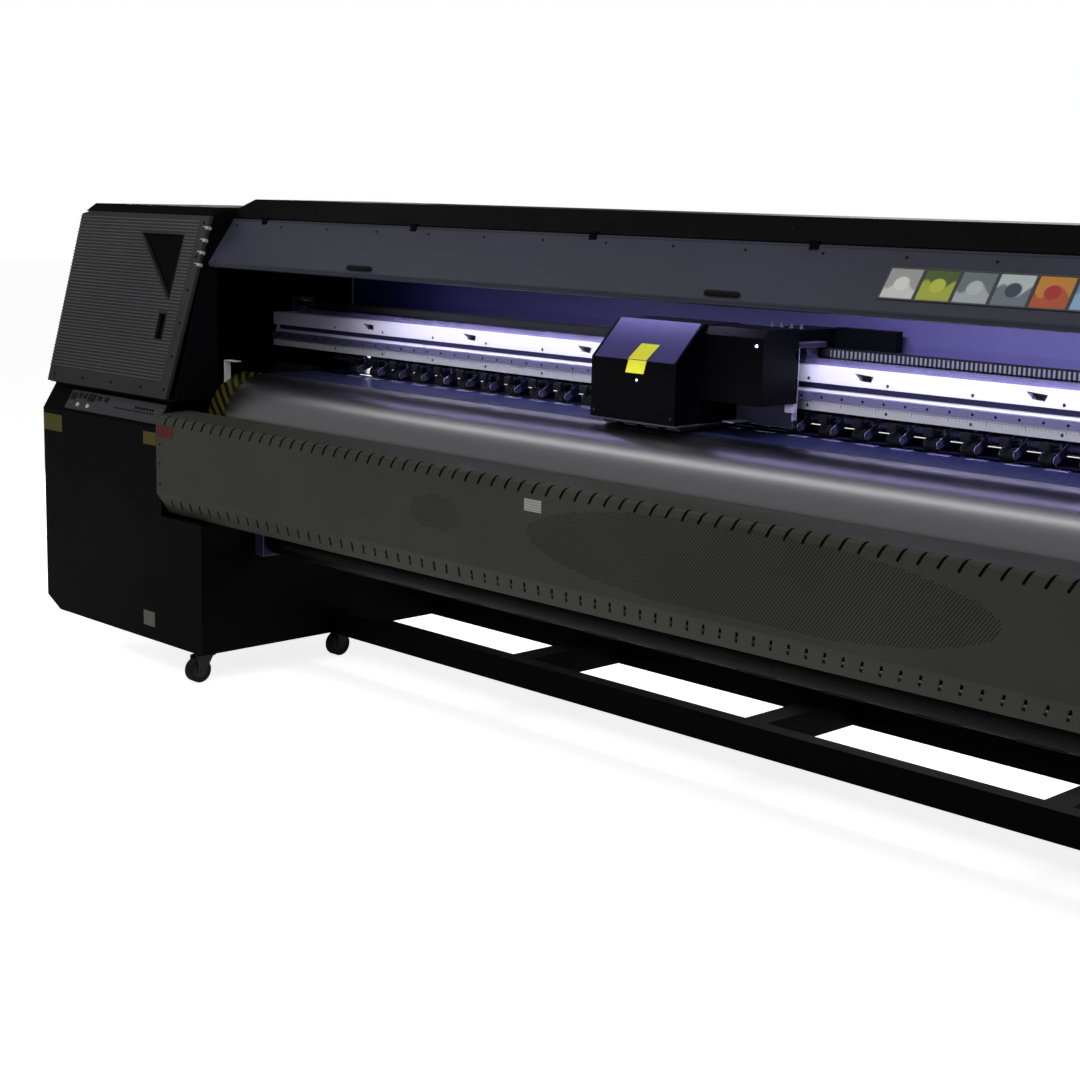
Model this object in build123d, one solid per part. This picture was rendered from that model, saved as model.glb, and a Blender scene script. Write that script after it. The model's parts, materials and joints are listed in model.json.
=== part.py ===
from build123d import *

import math
import os

# A roll-to-roll wide-format inkjet printer for 3.2 m media.
# Millimetres. X runs along the machine, -Y is the operator's side, +Z is up.
# The origin is on the floor under the centre of the machine.

# ---- driving dimensions -------------------------------------------------
HALF_LENGTH = 2600.0          # centre to the outer face of a service door
DOOR = 4.0                    # how far a service door stands proud
OUTER = HALF_LENGTH - DOOR    # outer face of cabinets and heads
HEAD_INNER = 1870.0           # inner wall of a head
LEG_STEP = 1906.0             # where the tall part of a leg cabinet ends
LEG_INNER = 1695.0            # inner wall of a leg cabinet
REAR = 506.0                  # rear face of the leg cabinets
FRONT = -488.0                # front face of the leg cabinets
BASE = 95.0                   # underside of cabinets and floor frame
LEG_TOP = 760.0
HEAD_BASE = 848.0
HEAD_TOP = 1428.0
HEAD_REAR = 240.0
ROOF = 1455.0
WALL = 4.0                    # folded sheet of the big shells

PLATEN_TOP = 930.0
GUIDE_HALF = 1765.0           # half length of platen, guides and rear guide
BEAM_FRONT = 20.0
BEAM_REAR = 170.0
BEAM_BOTTOM = 991.0
BEAM_TOP = 1098.0
BEAM_LEFT = -2020.0
BEAM_RIGHT = 2460.0

FEED_Y, FEED_Z, FEED_R = 23.0, 900.0, 30.0
PINCH_R = 15.0
PINCH_Z = PLATEN_TOP + PINCH_R + 0.3
PINCH_PITCH = 100.0
PINCH_COUNT = 33
ARM_Y, ARM_Z = 75.0, 968.0    # pinch arm hinge

DRYER_HALF = 1904.0
DRYER_SLOT_PITCH = 48.0
DRYER_SLOTS = 78

TAKE_UP_Y, TAKE_UP_Z = -250.0, 430.0
UNWIND_Y, UNWIND_Z = 330.0, 480.0
ROLL_R = 38.0                 # media shaft, for a three-inch core
JOURNAL_R = 15.0

PULLEY_Y, PULLEY_R = 130.0, 25.0
PULLEY_LEFT, PULLEY_RIGHT = -1990.0, 2430.0
BELT_LOW, BELT_HIGH = 1115.0, 1133.0

CASTER_X = 1745.0
CASTER_FRONT_Y, CASTER_REAR_Y = -440.0, 100.0
CASTER_TRAIL = 30.0
WHEEL_R = 37.5
WHEEL_LIFT = 3.0              # wheels hang this far above the floor on levelled feet

RUN_FIT = 0.05                # radial clearance of a running fit


# ---- shape helpers ------------------------------------------------------
def block(x, y, z):
    """A box from three (low, high) pairs."""
    centre = Pos((x[0] + x[1]) / 2, (y[0] + y[1]) / 2, (z[0] + z[1]) / 2)
    return centre * Box(x[1] - x[0], y[1] - y[0], z[1] - z[0])


def rod_x(x, y, z, radius):
    return Pos((x[0] + x[1]) / 2, y, z) * Rot(0, 90, 0) * Cylinder(radius, x[1] - x[0])


def rod_z(x, y, z, radius):
    return Pos(x, y, (z[0] + z[1]) / 2) * Cylinder(radius, z[1] - z[0])


def prism_x(points, x):
    """A (Y, Z) outline pushed along X."""
    face = Plane.YZ * make_face(Polyline(*points, close=True))
    return Pos(x[0], 0, 0) * extrude(face, amount=x[1] - x[0], dir=(1, 0, 0))


def prism_y(points, y):
    """An (X, Z) outline pushed along Y."""
    face = Rot(90, 0, 0) * make_face(Polyline(*points, close=True))
    return Pos(0, y[0], 0) * extrude(face, amount=y[1] - y[0], dir=(0, 1, 0))


def folded(points, radius, thickness, x):
    """A sheet folded along X: its (Y, Z) centre line, bend radius and gauge."""
    section = Plane.YZ * trace(FilletPolyline(*points, radius=radius), line_width=thickness)
    return Pos(x[0], 0, 0) * extrude(section, amount=x[1] - x[0], dir=(1, 0, 0))


def both_ends(shape):
    return [shape, mirror(shape, about=Plane.YZ)]


def group(items):
    """Separate solids that share one node."""
    return Compound([solid for item in items for solid in item.solids()])


def save(name, shape):
    export_step(shape, f"parts/{name}.step")


# ---- leg cabinets -------------------------------------------------------
NECK_FRONT = [(FRONT, 763.0), (-440.0, 840.0)]    # sloped facet under a head
FOOT_X, FOOT_YS = 2520.0, (-230.0, 350.0)
FOOT_HOLE_R, BASE_PLATE = 8.5, 12.0
NOTCH_TOP, NOTCH_REAR = 495.0, -380.0             # the dryer hangs in this notch
SHAFT_HOLE_R = 18.0


def corner_wedge(grow):
    """The cut along a cabinet's bottom outer corner."""
    points = [(OUTER - 80 - grow, BASE - 1), (OUTER + 1, BASE - 1), (OUTER + 1, BASE + 40 + grow)]
    return prism_y(points, (FRONT - 5, REAR + 5))


def leg_outer(inset, x):
    low, front, rear = BASE + inset, FRONT + inset, REAR - inset
    points = [(front, low), (rear, low), (rear, LEG_TOP - inset), (HEAD_REAR - inset, LEG_TOP - inset)]
    points += [(HEAD_REAR - inset, HEAD_BASE - inset), (-440 + inset, HEAD_BASE - inset)]
    points += [(NECK_FRONT[1][0] + inset, NECK_FRONT[1][1]), (front, NECK_FRONT[0][1])]
    return prism_x(points, x)


def leg_inner(inset, x):
    low, front, rear = BASE + inset, FRONT + inset, REAR - inset
    points = [(front, low), (rear, low), (rear, LEG_TOP - inset), (NOTCH_REAR + inset, LEG_TOP - inset)]
    points += [(NOTCH_REAR + inset, NOTCH_TOP - inset), (front, NOTCH_TOP - inset)]
    return prism_x(points, x)


def leg_cabinet():
    """The right one; the left one is its mirror image."""
    body = leg_outer(0, (LEG_STEP, OUTER)) + leg_inner(0, (LEG_INNER, LEG_STEP))
    body -= corner_wedge(0)
    cavity = leg_outer(WALL, (LEG_STEP - WALL, OUTER - WALL)) - corner_wedge(6)
    cavity += leg_inner(WALL, (LEG_INNER + WALL, LEG_STEP + WALL))
    cavity -= block((LEG_INNER, OUTER), (FRONT, REAR), (BASE, BASE + BASE_PLATE))
    body -= cavity
    body += block((OUTER - 1, HALF_LENGTH), (-400, 400), (190, 700))
    for y in FOOT_YS:
        body -= rod_z(FOOT_X - 5, y, (BASE - 1, BASE + BASE_PLATE + 1), FOOT_HOLE_R)
    for y, z in ((TAKE_UP_Y, TAKE_UP_Z), (UNWIND_Y, UNWIND_Z)):
        body -= rod_x((LEG_INNER - 1, LEG_INNER + WALL + 1), y, z, SHAFT_HOLE_R)
    return body


# ---- heads --------------------------------------------------------------
LEAN = math.atan2(145.0, 552.0)
PANEL_FOOT_Y, PANEL_FOOT_Z = -470.0, 852.0
PANEL_TOP_Z = 1402.0
PANEL_THICK = 12.0
PANEL_INNER_FOOT, PANEL_INNER_TOP = 1905.0, 1871.0
CORNER_X, CORNER_Z = 70.0, 35.0                   # cut on a head's top outer corner
GARAGE_Y = (-300.0, 222.0)
GARAGE_Z = (856.0, 1260.0)
LEVER_Y, LEVER_Z, LEVER_R = -360.0, 960.0, 8.0


def lean_y(z, inset):
    """Y of the leaning front plane at height z, inset behind its outer face."""
    return PANEL_FOOT_Y + (z - PANEL_FOOT_Z) * math.tan(LEAN) + inset / math.cos(LEAN)


def head_wedge(grow):
    points = [(OUTER - CORNER_X - grow, HEAD_TOP + 1), (OUTER + 1, HEAD_TOP + 1)]
    points += [(OUTER + 1, HEAD_TOP - CORNER_Z - grow)]
    return prism_y(points, (FRONT - 5, REAR))


def head_shell():
    """The right one. Open at the front, with a garage opening in its inner wall."""
    seat = PANEL_THICK + 0.2
    cap = PANEL_TOP_Z + 0.3
    outline = [(lean_y(HEAD_BASE, seat), HEAD_BASE), (lean_y(cap, seat), cap), (lean_y(cap, 2), cap)]
    outline += [(lean_y(HEAD_TOP, 2), HEAD_TOP), (HEAD_REAR, HEAD_TOP), (HEAD_REAR, HEAD_BASE)]
    body = prism_x(outline, (HEAD_INNER, OUTER)) - head_wedge(0)
    lip = PANEL_TOP_Z - 4
    hollow = [(-600, HEAD_BASE + WALL), (-600, lip), (lean_y(lip, seat + WALL), lip)]
    hollow += [(lean_y(lip, seat + WALL) + 6, HEAD_TOP - WALL), (HEAD_REAR - WALL, HEAD_TOP - WALL)]
    hollow += [(HEAD_REAR - WALL, HEAD_BASE + WALL)]
    body -= prism_x(hollow, (HEAD_INNER + WALL, OUTER - WALL)) - head_wedge(6)
    return body - block((HEAD_INNER - 5, HEAD_INNER + WALL + 1), GARAGE_Y, GARAGE_Z)


def lever_boss(shell):
    """The bearing of the pinch lever in the right head's inner wall."""
    shell += rod_x((HEAD_INNER + 1, HEAD_INNER + 16), LEVER_Y, LEVER_Z, 16)
    return shell - rod_x((HEAD_INNER - 1, HEAD_INNER + 17), LEVER_Y, LEVER_Z, LEVER_R + RUN_FIT)


def leaning_slab(inset, thickness):
    """A slab behind the leaning front plane, as wide as a head."""
    low, high = PANEL_FOOT_Z, PANEL_TOP_Z
    points = [(lean_y(low, inset), low), (lean_y(high, inset), high)]
    points += [(lean_y(high, inset + thickness), high), (lean_y(low, inset + thickness), low)]
    return prism_x(points, (HEAD_INNER - 5, OUTER))


def window_cut(grow):
    """The triangular window and the short slot under it, as cutting prisms."""
    g = grow
    triangle = [(2209 + 1.6 * g, 1341 + g), (1987 - g, 1341 + g), (1998 - g, 1150 - 2 * g)]
    slot = [(1994 - g, 1027 - g), (2025 + g, 1027 - g), (2025 + g, 1102 + g), (1994 - g, 1102 + g)]
    return [prism_y(triangle, (-600, 0)), prism_y(slot, (-600, 0))]


def ribbed_panel():
    outline = [(PANEL_INNER_FOOT, PANEL_FOOT_Z - 1), (OUTER, PANEL_FOOT_Z - 1)]
    outline += [(OUTER, HEAD_TOP - CORNER_Z), (OUTER - 52, PANEL_TOP_Z + 1), (PANEL_INNER_TOP, PANEL_TOP_Z + 1)]
    panel = leaning_slab(0, PANEL_THICK) & prism_y(outline, (-600, 0))
    for cut in window_cut(0):
        panel -= cut
    return panel


def head_window_plates():
    return [leaning_slab(5, PANEL_THICK - 5) & cut for cut in window_cut(-0.2)]


# ---- roof, hood and back ------------------------------------------------
COVER_HALF = HEAD_INNER - 4
HINGE_Y, HINGE_Z, HINGE_R = -244.0, 1391.5, 4.0
HOOD_LOW = (-341.0, 1259.0)
HOOD_LIP = (-314.0, 1250.0)
HOOD_GAUGE = 3.0
HINGE_LUGS = [-1700 + 680 * i for i in range(6)]
LUG_HALF = 12.0


def top_cover():
    outline = [(-242, 1398), (-209, ROOF), (HEAD_REAR, ROOF), (HEAD_REAR, 1396)]
    hollow = [(-235, 1385), (-205, ROOF - WALL), (HEAD_REAR - WALL, ROOF - WALL), (HEAD_REAR - WALL, 1385)]
    body = prism_x(outline, (-COVER_HALF, COVER_HALF))
    cavity = prism_x(hollow, (-COVER_HALF + WALL, COVER_HALF - WALL))
    end_cut = [(COVER_HALF + 1, HEAD_TOP - 2), (COVER_HALF + 1, ROOF + 1), (COVER_HALF - 70, ROOF + 1)]
    cavity_cut = [(COVER_HALF + 1, HEAD_TOP - 12), (COVER_HALF + 1, ROOF + 1), (COVER_HALF - 95, ROOF + 1)]
    for wedge in both_ends(prism_y(cavity_cut, (-400, 400))):
        cavity -= wedge
    body -= cavity
    for wedge in both_ends(prism_y(end_cut, (-400, 400))):
        body -= wedge
    for x in HINGE_LUGS:
        span = (x - LUG_HALF, x + LUG_HALF)
        body += block(span, (HINGE_Y - 6, HINGE_Y + 8), (HINGE_Z - 6, HINGE_Z + 12))
        body -= rod_x((x - LUG_HALF - 1, x + LUG_HALF + 1), HINGE_Y, HINGE_Z, HINGE_R + RUN_FIT)
    return body


def front_hood():
    """The hinged fascia: one folded sheet hanging from its rolled hinge edge."""
    half = COVER_HALF - 4
    sheet = folded([(HINGE_Y, HINGE_Z), HOOD_LOW, HOOD_LIP], 6, HOOD_GAUGE, (-half, half))
    for x in HINGE_LUGS:
        sheet -= rod_x((x - LUG_HALF - 2, x + LUG_HALF + 2), HINGE_Y, HINGE_Z, 13)
    return sheet + rod_x((-half, half), HINGE_Y, HINGE_Z, HINGE_R)


HOOD_SLOPE = math.degrees(math.atan2(HINGE_Z - HOOD_LOW[1], HINGE_Y - HOOD_LOW[0]))
TILE_COUNT, TILE_PITCH, TILE_FIRST = 8, 89.0, 611.0
TILE_WIDE, TILE_HIGH, TILE_THICK = 80.0, 74.0, 2.5
TILE_UP = 0.47                # height of the tiles up the fascia, as a share


def hood_tiles():
    y = HOOD_LOW[0] + TILE_UP * (HINGE_Y - HOOD_LOW[0])
    z = HOOD_LOW[1] + TILE_UP * (HINGE_Z - HOOD_LOW[1])
    lift = HOOD_GAUGE / 2 + TILE_THICK / 2
    tiles = []
    for i in range(TILE_COUNT):
        place = Pos(TILE_FIRST + i * TILE_PITCH, y, z) * Rot(HOOD_SLOPE, 0, 0) * Pos(0, 0, lift)
        tiles.append(place * Box(TILE_WIDE, TILE_HIGH, TILE_THICK))
    return tiles


def back_cover():
    path = [(207, 1001.5), (223.5, 1001.5), (223.5, 1416)]
    return folded(path, 3, 3, (WALL - COVER_HALF, COVER_HALF - WALL))


def led_strip():
    return block((-GUIDE_HALF, GUIDE_HALF), (-196, -178), (ROOF - WALL - 6, ROOF - WALL))


# ---- beam, rails, belt and cable chain ----------------------------------
ACCESS_PITCH, ACCESS_FIRST, ACCESS_COUNT = 460.0, -1538.0, 8
RAIL = 20.0
FRONT_RAIL_Z = 1026.0
TOP_RAIL_Y = 70.0
TRAY_Y = (BEAM_REAR, 205.0)
CHAIN_Y = (174.0, 201.0)
CHAIN_FIXED_END, CHAIN_MOVING_END, CHAIN_LOOP = 150.0, 281.0, 1443.0
CHAIN_HIGH = 21.0


def gantry_beam():
    outline = [(BEAM_FRONT, BEAM_BOTTOM), (BEAM_FRONT, 1011), (28, 1011), (28, 1042), (32, 1042), (32, 1059)]
    outline += [(BEAM_FRONT, 1059), (BEAM_FRONT, BEAM_TOP), (BEAM_REAR, BEAM_TOP), (BEAM_REAR, BEAM_BOTTOM)]
    beam = prism_x(outline, (BEAM_LEFT, BEAM_RIGHT))
    for chamber in ((40, 98), (106, 162)):
        beam -= block((BEAM_LEFT - 1, BEAM_RIGHT + 1), chamber, (BEAM_BOTTOM + 8, BEAM_TOP - 8))
    for i in range(ACCESS_COUNT):
        x = ACCESS_FIRST + i * ACCESS_PITCH
        slot = [(x - 27, 1090), (x + 27, 1086), (x + 20, 1070), (x - 14, 1072)]
        beam -= prism_y(slot, (10, 60))
    return beam


def linear_rails():
    span = (BEAM_LEFT + 10, BEAM_RIGHT - 10)
    front = block(span, (28 - RAIL, 28), (FRONT_RAIL_Z - RAIL / 2, FRONT_RAIL_Z + RAIL / 2))
    top = block((PULLEY_LEFT + 45, PULLEY_RIGHT - 45), (TOP_RAIL_Y - RAIL / 2, TOP_RAIL_Y + RAIL / 2),
                (BEAM_TOP, BEAM_TOP + 15))
    groove = block(span, (28 - RAIL + 7, 28 - RAIL + 13), (FRONT_RAIL_Z + 8, FRONT_RAIL_Z + 11))
    return [front - groove, top]


def encoder_strip():
    return block((BEAM_LEFT + 20, BEAM_RIGHT - 20), (31, 32), (1044, 1057))


def drive_belt():
    """A toothed belt round the two pulleys, drawn as a plain closed band."""
    outer, inner = PULLEY_R + 3.3, PULLEY_R + 0.3
    span = (PULLEY_LEFT, PULLEY_RIGHT)
    high = (BELT_LOW, BELT_HIGH)
    band = block(span, (PULLEY_Y - outer, PULLEY_Y + outer), high)
    band += rod_z(PULLEY_LEFT, PULLEY_Y, high, outer) + rod_z(PULLEY_RIGHT, PULLEY_Y, high, outer)
    core = block(span, (PULLEY_Y - inner, PULLEY_Y + inner), high)
    core += rod_z(PULLEY_LEFT, PULLEY_Y, high, inner) + rod_z(PULLEY_RIGHT, PULLEY_Y, high, inner)
    return band - core


PULLEY_BORE_R = 8.0


def pulley(x):
    body = rod_z(x, PULLEY_Y, (BELT_LOW - 2, BELT_HIGH + 2), PULLEY_R)
    return body - rod_z(x, PULLEY_Y, (BELT_LOW - 3, BELT_HIGH + 3), PULLEY_BORE_R + RUN_FIT)


def pulley_bracket(x):
    """A C bracket on the beam with the pulley's axle in it; its back is outboard."""
    side = math.copysign(1, x)
    y = (PULLEY_Y - 29, PULLEY_Y + 29)
    near, far = sorted((x - side * 14, x + side * 34)), sorted((x + side * 29.5, x + side * 36))
    body = block(near, y, (BEAM_TOP, BEAM_TOP + 8)) + block(near, y, (BELT_HIGH + 4, BELT_HIGH + 11))
    body += block(far, y, (BEAM_TOP, BELT_HIGH + 11))
    return body + rod_z(x, PULLEY_Y, (BEAM_TOP + 4, BELT_HIGH + 8), PULLEY_BORE_R)


def chain_tray():
    span = (-1860, BEAM_RIGHT + 60)
    floor = block(span, TRAY_Y, (1083, 1085))
    front = block(span, (TRAY_Y[0], TRAY_Y[0] + 2), (1083, 1096))
    return floor + front + block(span, (TRAY_Y[1] - 2, TRAY_Y[1]), (1083, 1120))


def cable_chain():
    """Lower run, tight loop and the upper run that glides on it."""
    low, mid = 1085.0, 1085.0 + CHAIN_HIGH + 0.75
    top = mid + 0.75 + CHAIN_HIGH
    chain = block((CHAIN_FIXED_END, CHAIN_LOOP), CHAIN_Y, (low, low + CHAIN_HIGH))
    chain += block((CHAIN_MOVING_END, CHAIN_LOOP), CHAIN_Y, (mid + 0.75, top))
    half_height = (top - low) / 2
    loop = Pos(CHAIN_LOOP, (CHAIN_Y[0] + CHAIN_Y[1]) / 2, mid) * Rot(90, 0, 0)
    disc = loop * Cylinder(half_height, CHAIN_Y[1] - CHAIN_Y[0])
    keep = block((CHAIN_LOOP - 0.01, CHAIN_LOOP + 60), CHAIN_Y, (low - 1, top + 1))
    return chain + (disc & keep)


# ---- media path ---------------------------------------------------------
GUIDE_R = 150.0
GUIDE_Y, GUIDE_Z = -200.0, 780.0
SIDE_FRAME_X = (GUIDE_HALF, GUIDE_HALF + 15)


def platen():
    body = block((-GUIDE_HALF, GUIDE_HALF), (GUIDE_Y, FEED_Y - FEED_R - 5), (890, PLATEN_TOP))
    return body - block((-GUIDE_HALF - 1, GUIDE_HALF + 1), (GUIDE_Y + 6, FEED_Y - FEED_R - 11), (896, 924))


def platen_tabs():
    tabs = []
    for i in range(PINCH_COUNT - 1):
        x = (i - (PINCH_COUNT - 2) / 2) * PINCH_PITCH
        tabs.append(block((x - 27, x + 27), (-30, -13), (PLATEN_TOP, PLATEN_TOP + 1.6)))
    return tabs


def front_guide():
    """A quarter-round polished sheet and the leg it runs down into."""
    span = (-GUIDE_HALF, GUIDE_HALF)
    arc = rod_x(span, GUIDE_Y, GUIDE_Z, GUIDE_R) - rod_x(span, GUIDE_Y, GUIDE_Z, GUIDE_R - 3)
    arc &= block(span, (GUIDE_Y - GUIDE_R - 1, GUIDE_Y), (GUIDE_Z, GUIDE_Z + GUIDE_R + 1))
    low = LEG_TOP + 2
    leg = block(span, (GUIDE_Y - GUIDE_R, GUIDE_Y - GUIDE_R + 3), (low, GUIDE_Z))
    foot = block(span, (GUIDE_Y - GUIDE_R, GUIDE_Y - GUIDE_R + 40), (low, low + 3))
    return arc + leg + foot


def rear_guide():
    path = [(FEED_Y + FEED_R + 5, PLATEN_TOP - 1.5), (262, PLATEN_TOP - 1.5), (262, 790)]
    return folded(path, 60, 3, (-GUIDE_HALF, GUIDE_HALF))


def guide_end_cap():
    """A striped cap that carries on the guide's curve, outboard of the side frame."""
    span = (SIDE_FRAME_X[1], SIDE_FRAME_X[1] + 78)
    quadrant = block(span, (GUIDE_Y - GUIDE_R, GUIDE_Y), (GUIDE_Z, GUIDE_Z + GUIDE_R))
    cap = rod_x(span, GUIDE_Y, GUIDE_Z, GUIDE_R - 1) & quadrant
    return cap + block(span, (GUIDE_Y - GUIDE_R + 1, GUIDE_Y), (LEG_TOP, GUIDE_Z))


def side_frame():
    outline = [(-330, LEG_TOP), (-330, 800), (-200, 889), (-20, 889), (-20, 925), (55, 925)]
    outline += [(55, BEAM_BOTTOM), (BEAM_REAR, BEAM_BOTTOM), (BEAM_REAR, 900), (300, 820), (300, LEG_TOP)]
    plate = prism_x(outline, SIDE_FRAME_X)
    plate -= rod_x((GUIDE_HALF - 1, GUIDE_HALF + 16), FEED_Y, FEED_Z, 12 + RUN_FIT)
    return plate - rod_x((GUIDE_HALF - 1, GUIDE_HALF + 16), ARM_Y, ARM_Z, 8 + RUN_FIT)


def feed_roller():
    core = rod_x((-1690, 1690), FEED_Y, FEED_Z, FEED_R)
    return core + rod_x((-1800, 1800), FEED_Y, FEED_Z, 12)


def pinch_xs():
    return [(i - (PINCH_COUNT - 1) / 2) * PINCH_PITCH for i in range(PINCH_COUNT)]


def pinch_cheek(x):
    """One side plate of a pinch arm, from the hinge down to the roller's axle."""
    span = (x - 1.2, x + 1.2)
    plate = rod_x(span, ARM_Y, ARM_Z, 14) + rod_x(span, FEED_Y, PINCH_Z, 10)
    plate += prism_x([(75, 982), (24, 955.2), (16, 938), (26, 935.8), (78, 954.4)], span)
    return plate - rod_x((x - 2, x + 2), FEED_Y, PINCH_Z, 3.1)


def pinch_arms():
    arms = rod_x((-1778, 1778), ARM_Y, ARM_Z, 8)
    cheeks = [pinch_cheek(x + side * 17.5) for x in pinch_xs() for side in (-1, 1)]
    webs = [block((x - 17, x + 17), (46, 66), (968, 979)) for x in pinch_xs()]
    return arms + cheeks + webs


def pinch_rollers():
    rollers = []
    for x in pinch_xs():
        roller = rod_x((x - 15, x + 15), FEED_Y, PINCH_Z, PINCH_R)
        rollers.append(roller + rod_x((x - 18.7, x + 18.7), FEED_Y, PINCH_Z, 3.0))
    return rollers


def pinch_lever():
    """The hand lever that lifts the pinch arms, and its cam inside the head."""
    hub = rod_x((HEAD_INNER - 22, HEAD_INNER - 1), LEVER_Y, LEVER_Z, 15)
    lever = hub + rod_x((HEAD_INNER - 22, HEAD_INNER + 30), LEVER_Y, LEVER_Z, LEVER_R)
    lever += block((HEAD_INNER - 20, HEAD_INNER - 12), (LEVER_Y - 9, LEVER_Y + 9), (LEVER_Z, LEVER_Z + 92))
    lever += Pos(HEAD_INNER - 16, LEVER_Y, LEVER_Z + 98) * Sphere(13)
    return lever + rod_x((HEAD_INNER + 18, HEAD_INNER + 28), LEVER_Y + 6, LEVER_Z, 17)


# ---- dryer --------------------------------------------------------------
DRYER_FACE = -505.0
NOSE_Z = 805.0
DRYER_REAR = (-395.0, 815.0)
DRYER_KNEE = 569.0
DRYER_LOW = (-460.0, 504.0)
SLOT_WIDE, SLOT_LONG, SLOT_SLANT = 7.0, 46.0, 31.0


def dryer_cover():
    """The folded box in front of the guide, with slanted slots along its nose and lip."""
    mid = DRYER_FACE + 1
    path = [DRYER_REAR, (mid, NOSE_Z), (mid, DRYER_KNEE), DRYER_LOW]
    cover = folded(path, 10, 2, (-DRYER_HALF, DRYER_HALF))
    slots = []
    for i in range(DRYER_SLOTS):
        x = (i - (DRYER_SLOTS - 1) / 2) * DRYER_SLOT_PITCH
        slots.append(Pos(x, mid, NOSE_Z - 6) * Rot(0, SLOT_SLANT, 0) * Box(SLOT_WIDE, 28, SLOT_LONG))
        slots.append(Pos(x, mid + 22, 540) * Rot(0, SLOT_SLANT, 0) * Box(SLOT_WIDE, 30, 34))
    cover -= slots
    end = [(-397, 812.6), (-500, 803), (-502.5, 798), (-502.5, 571), (-460.5, 508), (-397, 508)]
    for plate in both_ends(prism_x(end, (DRYER_HALF - 4, DRYER_HALF))):
        cover += plate
    lug = block((1720, 1760), (-398, NOTCH_REAR), (540, 600))
    rib = block((1720, 1760), (-504, -396), (560, 566))
    for plate in both_ends(lug + rib):
        cover += plate
    return cover


def dryer_heaters():
    plate = block((-1700, 1700), (-424, -422), (575, 790))
    rods = [rod_x((-1700, 1700), -450, z, 8) for z in (620, 680, 740)]
    clips = [block((x - 6, x + 6), (-450, -423), (612, 748)) for x in (-1600, -800, 0, 800, 1600)]
    body = plate
    for piece in rods + clips:
        body += piece
    for x in (-1696, 1696):
        body += block((x - 4, x + 4), (-503, -422), (590, 610))
    return body


# ---- floor frame --------------------------------------------------------
FRAME_TOP = 170.0
FRONT_BEAM_Y = (5.0, 55.0)
REAR_BEAM_Y = (432.0, 482.0)
CROSS_XS = (-870.0, 0.0, 870.0)


def box_tube_x(x, y, z, gauge):
    inner = block((x[0] - 1, x[1] + 1), (y[0] + gauge, y[1] - gauge), (z[0] + gauge, z[1] - gauge))
    return block(x, y, z) - inner


def floor_beam(y):
    return box_tube_x((-LEG_INNER, LEG_INNER), y, (BASE, FRAME_TOP), 4)


def cross_members():
    members = []
    for x in CROSS_XS:
        y = (FRONT_BEAM_Y[1], REAR_BEAM_Y[0])
        tube = block((x - 35, x + 35), y, (BASE, FRAME_TOP))
        members.append(tube - block((x - 31, x + 31), (y[0] - 1, y[1] + 1), (BASE + 4, FRAME_TOP - 4)))
    return members


def rear_skirt():
    return block((-LEG_INNER, LEG_INNER), (440, 443), (FRAME_TOP, 400))


# ---- media shafts -------------------------------------------------------
def media_shaft(y, z, right_end):
    tube = rod_x((-1648, 1648), y, z, ROLL_R)
    return tube + rod_x((-1690, right_end), y, z, JOURNAL_R)


def shaft_bearing(y, z):
    body = block((1655, LEG_INNER), (y - 40, y + 40), (z - 46, z + 34))
    body += rod_x((1655, LEG_INNER), y, z, 40)
    return body - rod_x((1654, LEG_INNER + 1), y, z, JOURNAL_R + RUN_FIT)


# ---- carriage -----------------------------------------------------------
CARRIAGE_X = (-325.0, -46.0)
CARRIAGE_FRONT, CARRIAGE_BACK = -256.0, -23.0
CARRIAGE_LOW, CARRIAGE_BROW, CARRIAGE_TOP = 950.0, 1098.0, 1190.0
SLOPE_BACK = -163.0
MODULE_X = (-46.0, 140.0)
PLATE_X = (-300.0, 130.0)


def carriage_body():
    outline = [(CARRIAGE_FRONT, CARRIAGE_LOW), (CARRIAGE_FRONT, CARRIAGE_BROW), (SLOPE_BACK, CARRIAGE_TOP)]
    outline += [(CARRIAGE_BACK, CARRIAGE_TOP), (CARRIAGE_BACK, CARRIAGE_LOW)]
    hollow = [(CARRIAGE_FRONT + 4, 900), (CARRIAGE_FRONT + 4, CARRIAGE_BROW - 2)]
    hollow += [(SLOPE_BACK + 2, CARRIAGE_TOP - 4), (CARRIAGE_BACK - 4, CARRIAGE_TOP - 4), (CARRIAGE_BACK - 4, 900)]
    body = prism_x(outline, CARRIAGE_X)
    body -= prism_x(hollow, (CARRIAGE_X[0] + 4, CARRIAGE_X[1] - 4))
    module = [(-160, 1008), (-160, 1168), (-140, 1188), (CARRIAGE_BACK, 1188), (CARRIAGE_BACK, 1008)]
    body += prism_x(module, MODULE_X)
    body -= block((MODULE_X[0] + 2, MODULE_X[1] - 4), (-155, CARRIAGE_BACK - 4), (900, 1164))
    body += block((-20, 100), (CARRIAGE_BACK - 1, CHAIN_Y[1]), (1152.2, 1180))
    return body + block((100, 280), CHAIN_Y, (1133, 1183))


def carriage_visor():
    """The glossy sloped lid over the carriage's front."""
    rise, run = CARRIAGE_TOP - CARRIAGE_BROW, SLOPE_BACK - CARRIAGE_FRONT
    length = math.hypot(rise, run)
    out_y, out_z = -3 * rise / length, 3 * run / length
    low, high = (CARRIAGE_FRONT, CARRIAGE_BROW), (SLOPE_BACK, CARRIAGE_TOP)
    points = [low, (low[0] + out_y, low[1] + out_z), (high[0] + out_y, high[1] + out_z), high]
    return prism_x(points, (-312, -50))


HEAD_XS = [-290 + 70 * i for i in range(4)]
HEAD_YS = (-185.0, -90.0)


def print_heads():
    heads = []
    for x in HEAD_XS:
        for y in HEAD_YS:
            head = block((x - 22, x + 22), (y - 36, y + 36), (933, 1000))
            heads.append(head + block((x - 26, x + 26), (y - 42, y + 42), (949.2, 956)))
    return heads


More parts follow.
